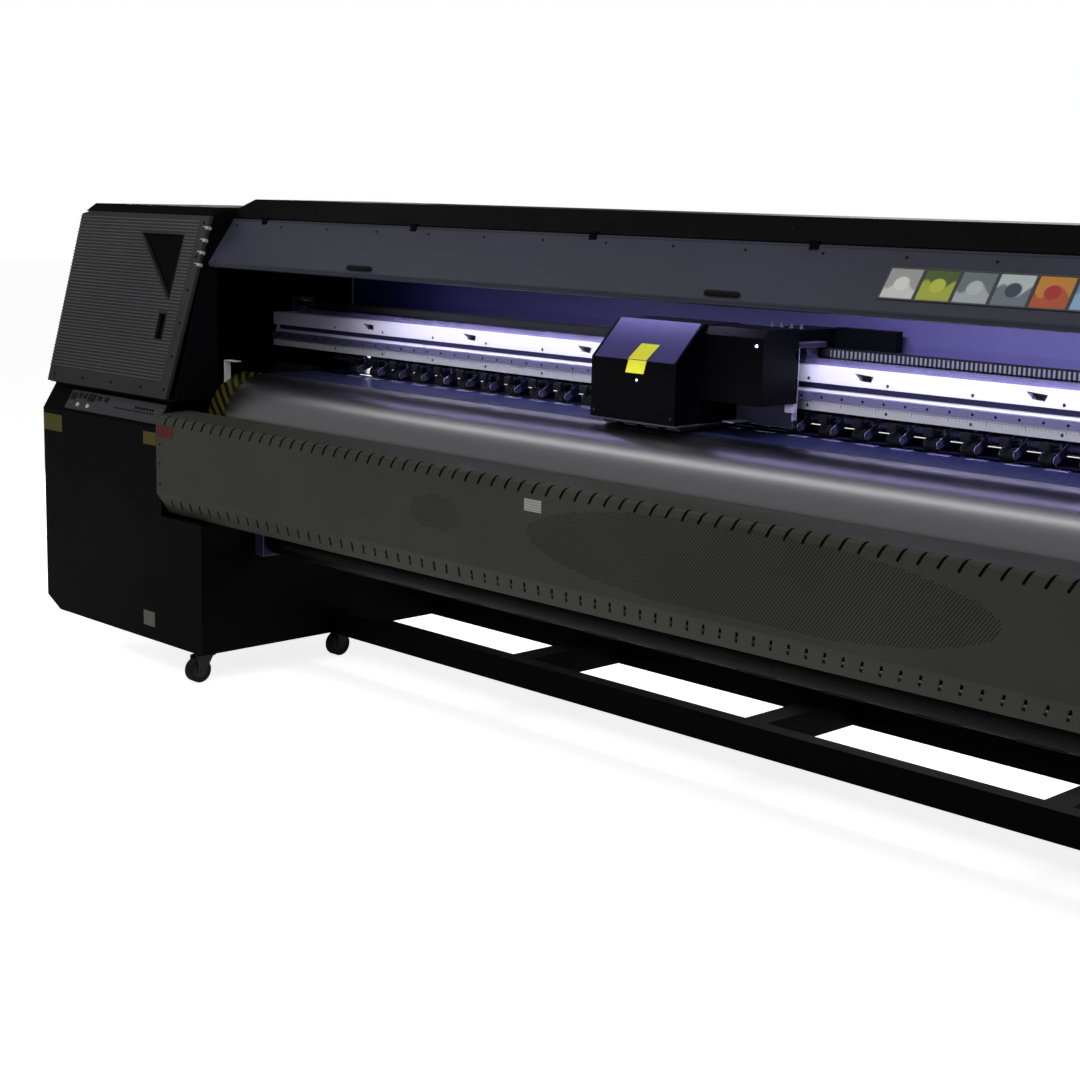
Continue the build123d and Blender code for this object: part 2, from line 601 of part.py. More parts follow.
def carriage_plate():
    """Base plate, back plate and the top plate that hangs them from the rails."""
    plate = block((-330, -38), (-262, CARRIAGE_BACK), (945, 949))
    for x in HEAD_XS:
        for y in HEAD_YS:
            plate -= block((x - 23, x + 23), (y - 37, y + 37), (940, 955))
    plate += block(PLATE_X, (CARRIAGE_BACK, -11), (945, 1152))
    plate += block(PLATE_X, (-11, 98), (1140, 1152))
    plate += block((-120, -60), (96, 112), (1140, 1152))
    belt_front = PULLEY_Y - PULLEY_R - 3.3
    plate += block((-120, -60), (96, belt_front - 0.5), (1110, 1141))
    return plate + block((-120, -60), (belt_front + 3.5, 112), (1110, 1141))


def rail_blocks():
    gap = 0.2
    blocks = []
    for x in (-235, 65):
        span, wide = (x - 45, x + 45), (x - 46, x + 46)
        front = block(span, (-11, 19), (1003, 1049))
        front -= block(wide, (28 - RAIL - gap, 20), (FRONT_RAIL_Z - 10 - gap, FRONT_RAIL_Z + 11 + gap))
        top = block(span, (TOP_RAIL_Y - 22, TOP_RAIL_Y + 22), (BEAM_TOP + 2, 1140))
        top -= block(wide, (TOP_RAIL_Y - 10 - gap, TOP_RAIL_Y + 10 + gap), (BEAM_TOP, BEAM_TOP + 15 + gap))
        blocks += [front, top]
    return blocks


def capping_station():
    base = block((1920, 2215), (-250, -25), (HEAD_BASE + WALL, 895))
    for x in HEAD_XS:
        for y in HEAD_YS:
            base += block((x + 2227, x + 2273), (y - 38, y + 38), (894, 926))
            base -= block((x + 2231, x + 2269), (y - 34, y + 34), (918, 930))
    return base


# ---- drives, ink and electrics ------------------------------------------
def motors():
    feed = rod_x((-1985, -1801), FEED_Y, FEED_Z, 40)
    feed += block((-1985, -1900), (FEED_Y - 30, FEED_Y + 30), (HEAD_BASE + WALL, 880))
    drive = rod_z(PULLEY_RIGHT, PULLEY_Y, (BELT_HIGH + 11, 1250), 40)
    take_up = rod_x((LEG_INNER + 4, 1850), TAKE_UP_Y, TAKE_UP_Z, 45)
    return [feed, drive, take_up]


def ink_tanks():
    """Bulk ink bottles on the floor of the right leg cabinet."""
    tanks = []
    for i in range(6):
        x = 1990 + 92 * i
        body = block((x - 40, x + 40), (-120, 120), (BASE + BASE_PLATE, 390))
        tanks.append(body + rod_z(x, 0, (389, 412), 22))
    return tanks


def on_strip(x, up, out):
    """A place on the sloped control strip: along X, up the slope and out of it."""
    (y0, z0), (y1, z1) = NECK_FRONT
    angle = math.degrees(math.atan2(z1 - z0, y1 - y0))
    return Pos(x, y0, z0) * Rot(angle, 0, 0) * Pos(0, up, out)


STRIP_X = (-2465.0, -1925.0)
STRIP_THICK = 6.0
BUTTON_XS = (-2395.0, -2335.0)
BUTTON_UP, BUTTON_R = 28.0, 7.0


def control_strip():
    middle = (STRIP_X[0] + STRIP_X[1]) / 2
    strip = on_strip(middle, 44, STRIP_THICK / 2) * Box(STRIP_X[1] - STRIP_X[0], 66, STRIP_THICK)
    for x in BUTTON_XS:
        strip -= on_strip(x, BUTTON_UP, STRIP_THICK / 2 + 1) * Cylinder(BUTTON_R + 0.3, STRIP_THICK)
    return strip


def button(x):
    return on_strip(x, BUTTON_UP, 7.5) * Cylinder(BUTTON_R, 5)


def caution_plates():
    """Blank sticker plates on cabinets and dryer."""
    on_leg = [((-2594, -2480), (692, 747)), ((-2000, -1930), (709, 748)), ((-2012, -1950), (138, 184))]
    on_dryer = [((-1898, -1815), (743, 778)), ((-299, -240), (736, 766))]
    plates = [block(x, (FRONT - 1, FRONT), z) for x, z in on_leg]
    return plates + [block(x, (DRYER_FACE - 1, DRYER_FACE), z) for x, z in on_dryer]


def levelling_feet():
    feet = []
    for side in (-1, 1):
        for y in FOOT_YS:
            x = side * (FOOT_X - 5)
            pad = rod_z(x, y, (0, 14), 32) + rod_z(x, y, (14, 130), 8)
            feet.append(pad + rod_z(x, y, (BASE - 14, BASE), 14))
    return feet


# ---- casters ------------------------------------------------------------
def caster_centre(x, y):
    return x, y - CASTER_TRAIL, WHEEL_R + WHEEL_LIFT


def caster_fork(x, y):
    _, wheel_y, wheel_z = caster_centre(x, y)
    top = BASE - 4.2
    fork = rod_z(x, y, (top - 6, top), 30) + block((x - 21, x + 21), (wheel_y - 6, y + 14), (top - 9, top - 4))
    for side in (-1, 1):
        near, far = sorted((x + side * 17, x + side * 21))
        cheek = prism_x([(wheel_y - 14, wheel_z - 8), (wheel_y + 12, wheel_z - 8), (y + 14, top - 5),
                         (wheel_y - 14, top - 5)], (near, far))
        fork += cheek
    return fork + rod_x((x - 22, x + 22), wheel_y, wheel_z, 5)


def caster_wheel(x, y):
    _, wheel_y, wheel_z = caster_centre(x, y)
    wheel = rod_x((x - 15, x + 15), wheel_y, wheel_z, WHEEL_R)
    return wheel - rod_x((x - 16, x + 16), wheel_y, wheel_z, 5 + RUN_FIT)


def caster_plates():
    """The bearing plates that hold the casters under the leg cabinets."""
    spots = [(side * CASTER_X, y) for side in (-1, 1) for y in (CASTER_FRONT_Y, CASTER_REAR_Y)]
    return [rod_z(x, y, (BASE - 4, BASE), 34) for x, y in spots]


# ---- write every node ---------------------------------------------------
def main():
    os.makedirs("parts", exist_ok=True)
    right_leg = leg_cabinet()
    save("right_leg_cabinet", right_leg)
    save("left_leg_cabinet", mirror(right_leg, about=Plane.YZ))
    shell = head_shell()
    save("left_head_shell", mirror(shell, about=Plane.YZ))
    save("right_head_shell", lever_boss(shell))
    save("ribbed_panels", group(both_ends(ribbed_panel())))
    save("head_windows", group(both_ends(group(head_window_plates()))))
    save("top_cover", top_cover())
    save("back_cover", back_cover())
    save("front_hood", front_hood())
    save("hood_tiles", group(hood_tiles()))
    save("led_strip", led_strip())
    save("gantry_beam", gantry_beam())
    save("linear_rails", group(linear_rails()))
    save("encoder_strip", encoder_strip())
    save("drive_belt", drive_belt())
    save("drive_pulley", pulley(PULLEY_RIGHT))
    save("idler_pulley", pulley(PULLEY_LEFT))
    save("pulley_brackets", group([pulley_bracket(PULLEY_LEFT), pulley_bracket(PULLEY_RIGHT)]))
    save("chain_tray", chain_tray())
    save("cable_chain", cable_chain())
    save("platen", platen())
    save("platen_tabs", group(platen_tabs()))
    save("front_guide", front_guide())
    save("rear_guide", rear_guide())
    save("guide_end_caps", group(both_ends(guide_end_cap())))
    save("side_frames", group(both_ends(side_frame())))
    save("feed_roller", feed_roller())
    save("pinch_arms", pinch_arms())
    save("pinch_rollers", group(pinch_rollers()))
    save("pinch_lever", pinch_lever())
    save("dryer_cover", dryer_cover())
    save("dryer_heaters", dryer_heaters())
    save("frame_front_beam", floor_beam(FRONT_BEAM_Y))
    save("frame_rear_beam", floor_beam(REAR_BEAM_Y))
    save("frame_cross_members", group(cross_members()))
    save("rear_skirt", rear_skirt())
    save("take_up_shaft", media_shaft(TAKE_UP_Y, TAKE_UP_Z, LEG_INNER + 3))
    save("unwind_shaft", media_shaft(UNWIND_Y, UNWIND_Z, 1690))
    bearings = [shaft_bearing(TAKE_UP_Y, TAKE_UP_Z), shaft_bearing(UNWIND_Y, UNWIND_Z)]
    save("shaft_bearings", group(both_ends(bearings[0]) + both_ends(bearings[1])))
    save("carriage_body", carriage_body())
    save("carriage_visor", carriage_visor())
    save("carriage_plate", carriage_plate())
    save("print_heads", group(print_heads()))
    save("rail_blocks", group(rail_blocks()))
    save("capping_station", capping_station())
    save("motors", group(motors()))
    save("ink_tanks", group(ink_tanks()))
    save("control_strip", control_strip())
    save("start_button", button(BUTTON_XS[0]))
    save("stop_button", button(BUTTON_XS[1]))
    save("caution_plates", group(caution_plates()))
    save("levelling_feet", group(levelling_feet() + caster_plates()))
    spots = [(-CASTER_X, CASTER_FRONT_Y), (CASTER_X, CASTER_FRONT_Y), (-CASTER_X, CASTER_REAR_Y)]
    spots += [(CASTER_X, CASTER_REAR_Y)]
    for number, (x, y) in enumerate(spots, 1):
        save(f"caster_fork_{number}", caster_fork(x, y))
        save(f"caster_wheel_{number}", caster_wheel(x, y))


main()
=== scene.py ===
# %% [markdown]
# # A wide roll-to-roll inkjet printer
# The real machine is five metres of folded and powder-coated sheet steel round an aluminium beam. A carriage
# with the print heads runs along the beam, and a row of pinch rollers holds the media on a polished guide.
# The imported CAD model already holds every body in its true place, so this lesson only adds finishes and the
# small repeated details. Everything is in metres: X runs along the machine and -Y is the operator's side.

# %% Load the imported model
import json
import math

import bmesh
import bpy
from mathutils import Matrix, Vector


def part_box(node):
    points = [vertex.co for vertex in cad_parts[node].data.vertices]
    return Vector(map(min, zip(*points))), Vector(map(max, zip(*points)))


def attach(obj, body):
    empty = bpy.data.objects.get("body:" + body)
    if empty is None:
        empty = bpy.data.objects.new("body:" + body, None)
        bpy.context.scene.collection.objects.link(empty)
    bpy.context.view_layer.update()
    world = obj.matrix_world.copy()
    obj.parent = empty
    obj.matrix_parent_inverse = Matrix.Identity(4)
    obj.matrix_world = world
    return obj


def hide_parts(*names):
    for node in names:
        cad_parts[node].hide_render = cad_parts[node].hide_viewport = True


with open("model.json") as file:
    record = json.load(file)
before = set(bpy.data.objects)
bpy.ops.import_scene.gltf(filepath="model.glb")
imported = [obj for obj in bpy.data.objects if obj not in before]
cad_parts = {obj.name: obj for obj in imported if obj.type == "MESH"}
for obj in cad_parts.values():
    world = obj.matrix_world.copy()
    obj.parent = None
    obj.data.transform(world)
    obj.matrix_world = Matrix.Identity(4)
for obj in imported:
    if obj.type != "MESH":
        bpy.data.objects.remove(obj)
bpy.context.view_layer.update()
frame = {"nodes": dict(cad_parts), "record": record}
nodes = frame["nodes"]
slot_of = {part["node"]: part["material_slot"] for part in frame["record"]["subparts"]}

# %% [markdown]
# ## Camera
# The machine is seen from its left end, standing, at eye height. A camera could be aimed with a Track To
# constraint, but three plain angles say the same thing and leave nothing live in the file: yaw turns it
# about the vertical, pitch tips it down, and the small roll is the tilt of a camera held by hand.

# %% Camera
EYE = Vector((2.883, -3.604, 1.488))
YAW, PITCH, ROLL = math.radians(-45.239), math.radians(10.520), math.radians(-1.392)

ahead = Vector((math.sin(YAW) * math.cos(PITCH), math.cos(YAW) * math.cos(PITCH), -math.sin(PITCH)))
level = Vector((math.cos(YAW), -math.sin(YAW), 0))
down = ahead.cross(level)
right = math.cos(ROLL) * level + math.sin(ROLL) * down
below = math.cos(ROLL) * down - math.sin(ROLL) * level

camera = bpy.data.objects.new("camera", bpy.data.cameras.new("camera"))
camera.data.lens, camera.data.sensor_width = 61.89, 36
camera.matrix_world = Matrix.Translation(EYE) @ Matrix((right, -below, -ahead)).transposed().to_4x4()
bpy.context.scene.collection.objects.link(camera)
bpy.context.scene.camera = camera
bpy.context.scene.view_settings.view_transform = "Standard"
print("camera looks along", [round(x, 3) for x in ahead])

# %% [markdown]
# ## Node helpers
# Node trees are long to write by hand, so one helper adds a node, sets its properties and fills its inputs.
# An input is named as in the interface, or i0, i1 ... by position where Blender repeats a name. A value that
# is itself a socket becomes a link. The same helper serves shaders and Geometry Nodes.


# %% Node helpers
def add(tree, kind, settings=None, **inputs):
    node = tree.nodes.new(kind)
    for key, value in (settings or {}).items():
        setattr(node, key, value)
    for key, value in inputs.items():
        numbered = key[0] == "i" and key[1:].isdigit()
        socket = node.inputs[int(key[1:])] if numbered else node.inputs[key.replace("_", " ")]
        if isinstance(value, bpy.types.NodeSocket):
            tree.links.new(value, socket)
        else:
            socket.default_value = value
    return node


def calc(tree, operation, a, b=0.0, c=0.0):
    return add(tree, "ShaderNodeMath", {"operation": operation}, i0=a, i1=b, i2=c).outputs[0]


def plus(tree, a, b):
    return calc(tree, "ADD", a, b)


def minus(tree, a, b):
    return calc(tree, "SUBTRACT", a, b)


def times(tree, a, b):
    return calc(tree, "MULTIPLY", a, b)


def over(tree, a, b):
    return calc(tree, "DIVIDE", a, b)


def vector_calc(tree, operation, a, b=(0, 0, 0), scale=1.0):
    node = add(tree, "ShaderNodeVectorMath", {"operation": operation}, i0=a, i1=b, i3=scale)
    return node.outputs["Value" if operation in ("LENGTH", "DOT_PRODUCT") else "Vector"]


def between(tree, factor, a, b):
    """A colour that goes from a to b as factor goes from 0 to 1."""
    node = add(tree, "ShaderNodeMix", {"data_type": "RGBA"}, Factor=factor, i6=a, i7=b)
    return node.outputs[2]


def ramp(tree, value, low, high, start=0.0, end=1.0):
    """value from low..high mapped to start..end, clamped."""
    node = add(tree, "ShaderNodeMapRange", None, Value=value, From_Min=low, From_Max=high,
               To_Min=start, To_Max=end)
    return node.outputs[0]


def noise(tree, where, scale, detail, **more):
    return add(tree, "ShaderNodeTexNoise", None, Vector=where, Scale=scale, Detail=detail, **more).outputs[0]


def place_in(tree):
    """The Object coordinates, which here are metres in the machine's frame."""
    return add(tree, "ShaderNodeTexCoord").outputs["Object"]


def parts_of(tree, vector):
    return add(tree, "ShaderNodeSeparateXYZ", None, Vector=vector).outputs


def new_group(name, kind, inputs, outputs):
    """A node group with named inputs (name, type, default) and outputs (name, type)."""
    tree = bpy.data.node_groups.new(name, kind)
    for label, sort, default in inputs:
        socket = tree.interface.new_socket(label, in_out="INPUT", socket_type="NodeSocket" + sort)
        if default is not None:
            socket.default_value = default
    for label, sort in outputs:
        tree.interface.new_socket(label, in_out="OUTPUT", socket_type="NodeSocket" + sort)
    return tree, tree.nodes.new("NodeGroupInput").outputs, tree.nodes.new("NodeGroupOutput").inputs


print("helpers ready")

# %% [markdown]
# ## Shared effect: powder coat
# Powder paint melts into a faint orange peel, and its tone drifts a little from batch to batch and where
# hands have rubbed it. A picture of paint would repeat on five metres, so two noises make it: a fine one
# for the height of the peel and a slow one for the tone.

# %% Powder coat group
powder, given, made = new_group(
    "PowderCoat", "ShaderNodeTree",
    [("Peel Scale", "Float", 900.0), ("Tone Scale", "Float", 3.0)],
    [("Height", "Float"), ("Tone", "Float")])
spot = place_in(powder)
peel = noise(powder, spot, given["Peel Scale"], 2.0)
drift = noise(powder, spot, given["Tone Scale"], 5.0, Roughness=0.6)
powder.links.new(peel, made["Height"])
powder.links.new(ramp(powder, drift, 0.3, 0.7), made["Tone"])
print("group", powder.name)

# %% [markdown]
# ## Shared effect: brushed grain
# Rolled, drawn and brushed metal all carry scratches along one direction. Squeezing the coordinates along
# that direction before a noise turns its blobs into long streaks, so the same group gives the grain of the
# beam, the guide and the rollers by its Stretch input alone.

# %% Brushed grain group
grain, given, made = new_group(
    "BrushedGrain", "ShaderNodeTree",
    [("Stretch", "Vector", (6.0, 900.0, 900.0)), ("Smudge Scale", "Float", 4.0)],
    [("Height", "Float"), ("Streak", "Float"), ("Smudge", "Float")])
spot = place_in(grain)
squeezed = vector_calc(grain, "MULTIPLY", spot, given["Stretch"])
fine = noise(grain, squeezed, 1.0, 3.0)
broad = noise(grain, vector_calc(grain, "SCALE", squeezed, scale=0.06), 1.0, 2.0)
smudge = noise(grain, spot, given["Smudge Scale"], 4.0)
grain.links.new(fine, made["Height"])
grain.links.new(calc(grain, "MULTIPLY_ADD", broad, 0.5, times(grain, fine, 0.5)),
                made["Streak"])
grain.links.new(ramp(grain, smudge, 0.35, 0.7), made["Smudge"])
print("group", grain.name)

# %% [markdown]
# ## Shared effect: soft and worn edges
# A folded edge is never a mathematical line: it has a small radius that catches light, and paint rubs thin
# there. The CAD meshes can't be bevelled, so a Bevel node rounds their normals instead. Where the rounded
# normal leaves the true one there is an edge, and a noise breaks that mask up into scuffs.

# %% Edge group
edges, given, made = new_group(
    "SoftEdges", "ShaderNodeTree",
    [("Radius", "Float", 0.002), ("Scuff Scale", "Float", 60.0)],
    [("Normal", "Vector"), ("Wear", "Float"), ("Edge", "Float")])
rounded = add(edges, "ShaderNodeBevel", {"samples": 3}, Radius=given["Radius"]).outputs[0]
true_normal = add(edges, "ShaderNodeNewGeometry").outputs["Normal"]
turned = minus(edges, 1.0, vector_calc(edges, "DOT_PRODUCT", rounded, true_normal))
scuff = noise(edges, place_in(edges), given["Scuff Scale"], 4.0)
edges.links.new(rounded, made["Normal"])
edges.links.new(turned, made["Edge"])
edges.links.new(times(edges, ramp(edges, turned, 0.02, 0.25), ramp(edges, scuff, 0.42, 0.62)),
                made["Wear"])
print("group", edges.name)

# %% [markdown]
# ## Shared effect: settled dust
# Print shops are dusty, and dust stays on whatever faces up. The normal's Z says how much a face looks at
# the ceiling, and a noise keeps the film from being even.

# %% Dust group
dust, given, made = new_group(
    "SettledDust", "ShaderNodeTree", [("Amount", "Float", 0.3)], [("Mask", "Float")])
facing = parts_of(dust, add(dust, "ShaderNodeNewGeometry").outputs["Normal"])[2]
cloud = noise(dust, place_in(dust), 9.0, 6.0)
film = times(dust, ramp(dust, facing, 0.5, 1.0), ramp(dust, cloud, 0.4, 0.75))
dust.links.new(times(dust, film, given["Amount"]), made["Mask"])
print("group", dust.name)


# %% [markdown]
# ## Two recipes for most finishes
# Nearly every surface is either painted or moulded, where the colour is on top, or bare metal, where the
# scratches make the look. Each recipe places the shared groups in the material with its own values. What is
# the same all over, such as the specular level, is set on the Principled shader's own socket.

# %% Recipes
DUST_GREY = (0.12, 0.115, 0.11, 1)


def use(tree, group, **inputs):
    return add(tree, "ShaderNodeGroup", {"node_tree": group}, **inputs).outputs


def blank(name, **constants):
    """A new material, its tree and its shader with the constant sockets set."""
    finish = bpy.data.materials.new(name)
    finish.use_nodes = True
    shader = finish.node_tree.nodes["Principled BSDF"]
    for key, value in constants.items():
        shader.inputs[key.replace("_", " ")].default_value = value
    return finish, finish.node_tree, shader


def wire(tree, shader, **inputs):
    for key, value in inputs.items():
        tree.links.new(value, shader.inputs[key.replace("_", " ")])


def grey(colour, factor):
    return (*[min(1.0, c * factor) for c in colour[:3]], 1.0)


def painted(name, colour, rough, peel=900.0, bump=0.12, wear=0.25, dusty=0.1, radius=0.0015,
            shine=0.2, **constants):
    """Powder coat, moulded plastic or rubber: tone drift, scuffed edges, dust and a fine peel."""
    finish, tree, shader = blank(name, Specular_IOR_Level=shine, **constants)
    coat = use(tree, powder, Peel_Scale=peel, Tone_Scale=2.5)
    edge = use(tree, edges, Radius=radius)
    toned = between(tree, coat["Tone"], grey(colour, 0.85), grey(colour, 1.2))
    worn = between(tree, times(tree, edge["Wear"], wear), toned, grey(colour, 3.0))
    film = use(tree, dust, Amount=dusty)["Mask"]
    bumped = add(tree, "ShaderNodeBump", None, Strength=bump, Distance=0.001, Height=coat["Height"],
                 Normal=edge["Normal"])
    wire(tree, shader, Base_Color=between(tree, film, worn, DUST_GREY), Normal=bumped.outputs[0],
         Roughness=calc(tree, "MULTIPLY_ADD", coat["Tone"], 0.12, rough - 0.06))
    return finish


def bare(name, colour, rough, stretch=(6, 900, 900), metal=1.0, bump=0.1, contrast=0.3, radius=0.0008):
    """Brushed, rolled or turned metal: streaks along one direction, smudges and softened edges."""
    finish, tree, shader = blank(name, Metallic=metal)
    lines = use(tree, grain, Stretch=stretch)
    edge = use(tree, edges, Radius=radius)
    streaked = between(tree, lines["Streak"], grey(colour, 1 - contrast), grey(colour, 1 + contrast))
    handled = between(tree, times(tree, lines["Smudge"], 0.15), streaked, grey(colour, 0.7))
    bumped = add(tree, "ShaderNodeBump", None, Strength=bump, Distance=0.0004, Height=lines["Height"],
                 Normal=edge["Normal"])
    drawn = calc(tree, "MULTIPLY_ADD", lines["Streak"], 0.1, rough - 0.1)
    rubbed = calc(tree, "MULTIPLY_ADD", lines["Smudge"], 0.06, drawn)
    wire(tree, shader, Base_Color=handled, Roughness=rubbed, Normal=bumped.outputs[0])
    return finish


print("recipes ready")

# %% [markdown]
# ## Painted and moulded finishes
# The covers are nearly black, so their look comes from how they catch light, not from colour. Values are
# scene-linear: a black cover sits near 0.003, the leaning side panels near 0.05. A line of the table gives a
# colour, a roughness and whatever differs from the recipe.

# %% Painted and moulded finishes
PAINTS = {
    "cabinet_black": ((0.0025, 0.0025, 0.003), 0.5, dict(dusty=0.03, shine=0.05)),
    "head_black": ((0.0028, 0.0028, 0.0033), 0.5, dict(dusty=0.04, shine=0.08)),
    "ribbed_grey": ((0.048, 0.048, 0.050), 0.5, dict(bump=0.05, shine=0.2)),
    # The ribs' finish is a lighter copy of the panel grey, a painted highlight on their crests.
    "rib_crest": ((0.105, 0.105, 0.110), 0.5, dict(bump=0.05, radius=0.0003, shine=0.25)),
    "cover_black": ((0.0025, 0.0025, 0.003), 0.42, dict(dusty=0.03, shine=0.05)),
    "fascia_grey": ((0.040, 0.043, 0.066), 0.38, dict(dusty=0.03, shine=0.3)),
    "window_black": ((0.001, 0.001, 0.0015), 0.15, dict(bump=0.01, dusty=0.0, wear=0.0, shine=0.08)),
    "tray_steel": ((0.02, 0.02, 0.03), 0.45, dict()),
    "frame_steel": ((0.002, 0.002, 0.0025), 0.5, dict(shine=0.05)),
    "dryer_olive": ((0.060, 0.061, 0.048), 0.46, dict(dusty=0.15, shine=0.25)),
    "chain_nylon": ((0.02, 0.02, 0.024), 0.55, dict(peel=1600, bump=0.2)),
    "belt_rubber": ((0.01, 0.01, 0.011), 0.75, dict(peel=2500, bump=0.5)),
    "pinch_rubber": ((0.008, 0.008, 0.01), 0.6, dict(peel=2500, bump=0.4)),
    "caster_rubber": ((0.012, 0.012, 0.012), 0.7, dict(peel=1500, bump=0.5, dusty=0.4)),
    "carriage_black": ((0.002, 0.002, 0.003), 0.4, dict(dusty=0.0, shine=0.08)),
    "head_module": ((0.05, 0.05, 0.06), 0.4, dict()),
    "motor_black": ((0.01, 0.01, 0.011), 0.45, dict()),
    "tank_plastic": ((0.5, 0.5, 0.48), 0.4, dict(peel=400)),
    "button_white": ((0.75, 0.75, 0.74), 0.3, dict(dusty=0.0, radius=0.0006)),
    "spring_cap": ((0.004, 0.004, 0.006), 0.35, dict(dusty=0.0, shine=0.3)),
    "seal_rubber": ((0.006, 0.006, 0.006), 0.6, dict(peel=3000, dusty=0.05)),
    # Painted shade for the dryer's open slits.
    "slit_dim": ((0.014, 0.014, 0.011), 0.7, dict(dusty=0.0, shine=0.05)),
    "brush_nylon": ((0.006, 0.006, 0.030), 0.5, dict(dusty=0.0, radius=0.0003)),
    # One near-black finish: painted shade in slots and holes, and the real dark of ruler marks and printed
    # rules.
    "slit_shadow": ((0.002, 0.002, 0.002), 0.8, dict(dusty=0.0, shine=0.05)),
}
finish_of = {name: painted(name, colour, rough, **more) for name, (colour, rough, more) in PAINTS.items()}
print(len(finish_of), "painted finishes")

# %% [markdown]
# ## Bare metals
# The beam and its rails are the brightest thing on the machine. The lamp strip above lights them, so they
# are satin rather than mirror-like. The other metals differ in tone and in the direction of their grain.

# %% Bare metals
METALS = {
    "beam_silver": ((0.80, 0.78, 0.86), 0.48, dict(metal=0.35, contrast=0.08, bump=0.05)),
    "rail_steel": ((0.26, 0.25, 0.44), 0.3, dict(metal=0.8, contrast=0.12)),
    "pulley_aluminium": ((0.6, 0.6, 0.63), 0.35, dict(stretch=(300, 300, 4))),
    "platen_blue": ((0.025, 0.03, 0.10), 0.42, dict(metal=0.6, contrast=0.2)),
    "roller_steel": ((0.08, 0.08, 0.12), 0.35, dict(stretch=(900, 4, 4))),
    "heater_steel": ((0.4, 0.38, 0.35), 0.45, dict()),
    # The shafts' near-black colour is painted shade, for the shade under the dryer where the take-up shaft
    # lies.
    "shaft_aluminium": ((0.02, 0.02, 0.022), 0.45, dict()),
    "strip_silver": ((0.10, 0.10, 0.11), 0.4, dict(metal=0.5, contrast=0.12)),
    "foot_steel": ((0.06, 0.06, 0.065), 0.4, dict(stretch=(200, 200, 20))),
    "caster_steel": ((0.05, 0.05, 0.055), 0.45, dict(stretch=(80, 80, 80))),
    "screw_steel": ((0.18, 0.18, 0.20), 0.35, dict(stretch=(500, 500, 500))),
    "dark_screw": ((0.02, 0.02, 0.022), 0.4, dict(stretch=(500, 500, 500))),
}
for name, (colour, rough, more) in METALS.items():
    finish_of[name] = bare(name, colour, rough, **more)
print(len(finish_of), "finishes so far")

# %% [markdown]
# ## The polished guide
# The front guide is a wide curved sheet, so it shows every unevenness. It gets long faint draw lines only,
# and neither smudges nor softened edges, which would leave patches on the curve.

# %% Polished guide
finish, tree, shader = blank("guide_silver", Metallic=1.0)
drawn = use(tree, grain, Stretch=(1.5, 500.0, 500.0))["Streak"]
wire(tree, shader, Base_Color=between(tree, drawn, (0.46, 0.46, 0.48, 1), (0.56, 0.56, 0.58, 1)),
     Roughness=calc(tree, "MULTIPLY_ADD", drawn, 0.04, 0.27))
finish_of["guide_silver"] = finish
print("guide done")

# %% [markdown]
# ## Blackened plates with bright edges
# The pinch brackets and the carriage plates are cut from blackened sheet, so their faces are dark and only
# their cut edges shine. The pale lavender of those edges is bare metal with a painted highlight of the lamp
# strip in it. The mask of the edge group picks out those edges, here at a wider radius.


# %% Plates with painted edge highlights
def plate_with_edge_highlight(name, face, edge, rough, radius):
    finish, tree, shader = blank(name, Metallic=0.4)
    lines = use(tree, grain, Stretch=(50.0, 50.0, 50.0))
    rim = use(tree, edges, Radius=radius)
    edge_highlight_mask = ramp(tree, rim["Edge"], 0.0, 0.12)
    faced = between(tree, lines["Streak"], grey(face, 0.7), grey(face, 1.4))
    wire(tree, shader, Base_Color=between(tree, edge_highlight_mask, faced, edge), Normal=rim["Normal"],
         Roughness=calc(tree, "MULTIPLY_ADD", lines["Smudge"], 0.15, rough))
    return finish


# The edge colours are bare metal brightened into a painted highlight of the lamp strip.
for name, face, edge, radius in (("bracket_zinc", (0.05, 0.05, 0.13), (0.75, 0.73, 0.92, 1), 0.0016),
                                 ("plate_aluminium", (0.03, 0.03, 0.06), (0.6, 0.6, 0.7, 1), 0.0014)):
    finish_of[name] = plate_with_edge_highlight(name, face, edge, 0.35, radius)
print("cut-edge plates ready")

# %% [markdown]
# ## The carriage visor
# The lid over the print heads is dark glossy plastic under the violet lamp strip. Its base colour takes up a
# little of that violet as a painted reflection of the lamp, and a soft clear coat carries the reflections.
# Fine swirls from wiping it go in the roughness.

# %% Visor
finish, tree, shader = blank("visor_gloss", Coat_Weight=0.5, Coat_Roughness=0.28, Specular_IOR_Level=0.4)
swirl = noise(tree, place_in(tree), 25.0, 5.0, Distortion=2.0)
# The violet of these two base colours is a painted reflection of the lamp strip.
wire(tree, shader, Base_Color=between(tree, swirl, (0.046, 0.042, 0.140, 1), (0.060, 0.055, 0.175, 1)),
     Roughness=ramp(tree, swirl, 0.3, 0.7, 0.30, 0.42),
     Normal=use(tree, edges, Radius=0.001)["Normal"])
finish_of["visor_gloss"] = finish
print("visor done")

# %% [markdown]
# ## The back wall behind the beam
# This sheet is glossy and dark, and takes the violet of the lamp above it. Very faint upright streaks show
# where the sheet was wiped and rolled: a noise squeezed along Z makes them. Its colour is paler to the right,
# which is painted light falloff: painted shade at the left end and painted light at the right. Its outer
# face, seen from behind the machine, is plain black.

# %% Back wall
finish, tree, shader = blank("inner_wall", Specular_IOR_Level=0.35, Coat_Weight=0.2, Coat_Roughness=0.25)
upright = use(tree, grain, Stretch=(260.0, 260.0, 1.5))
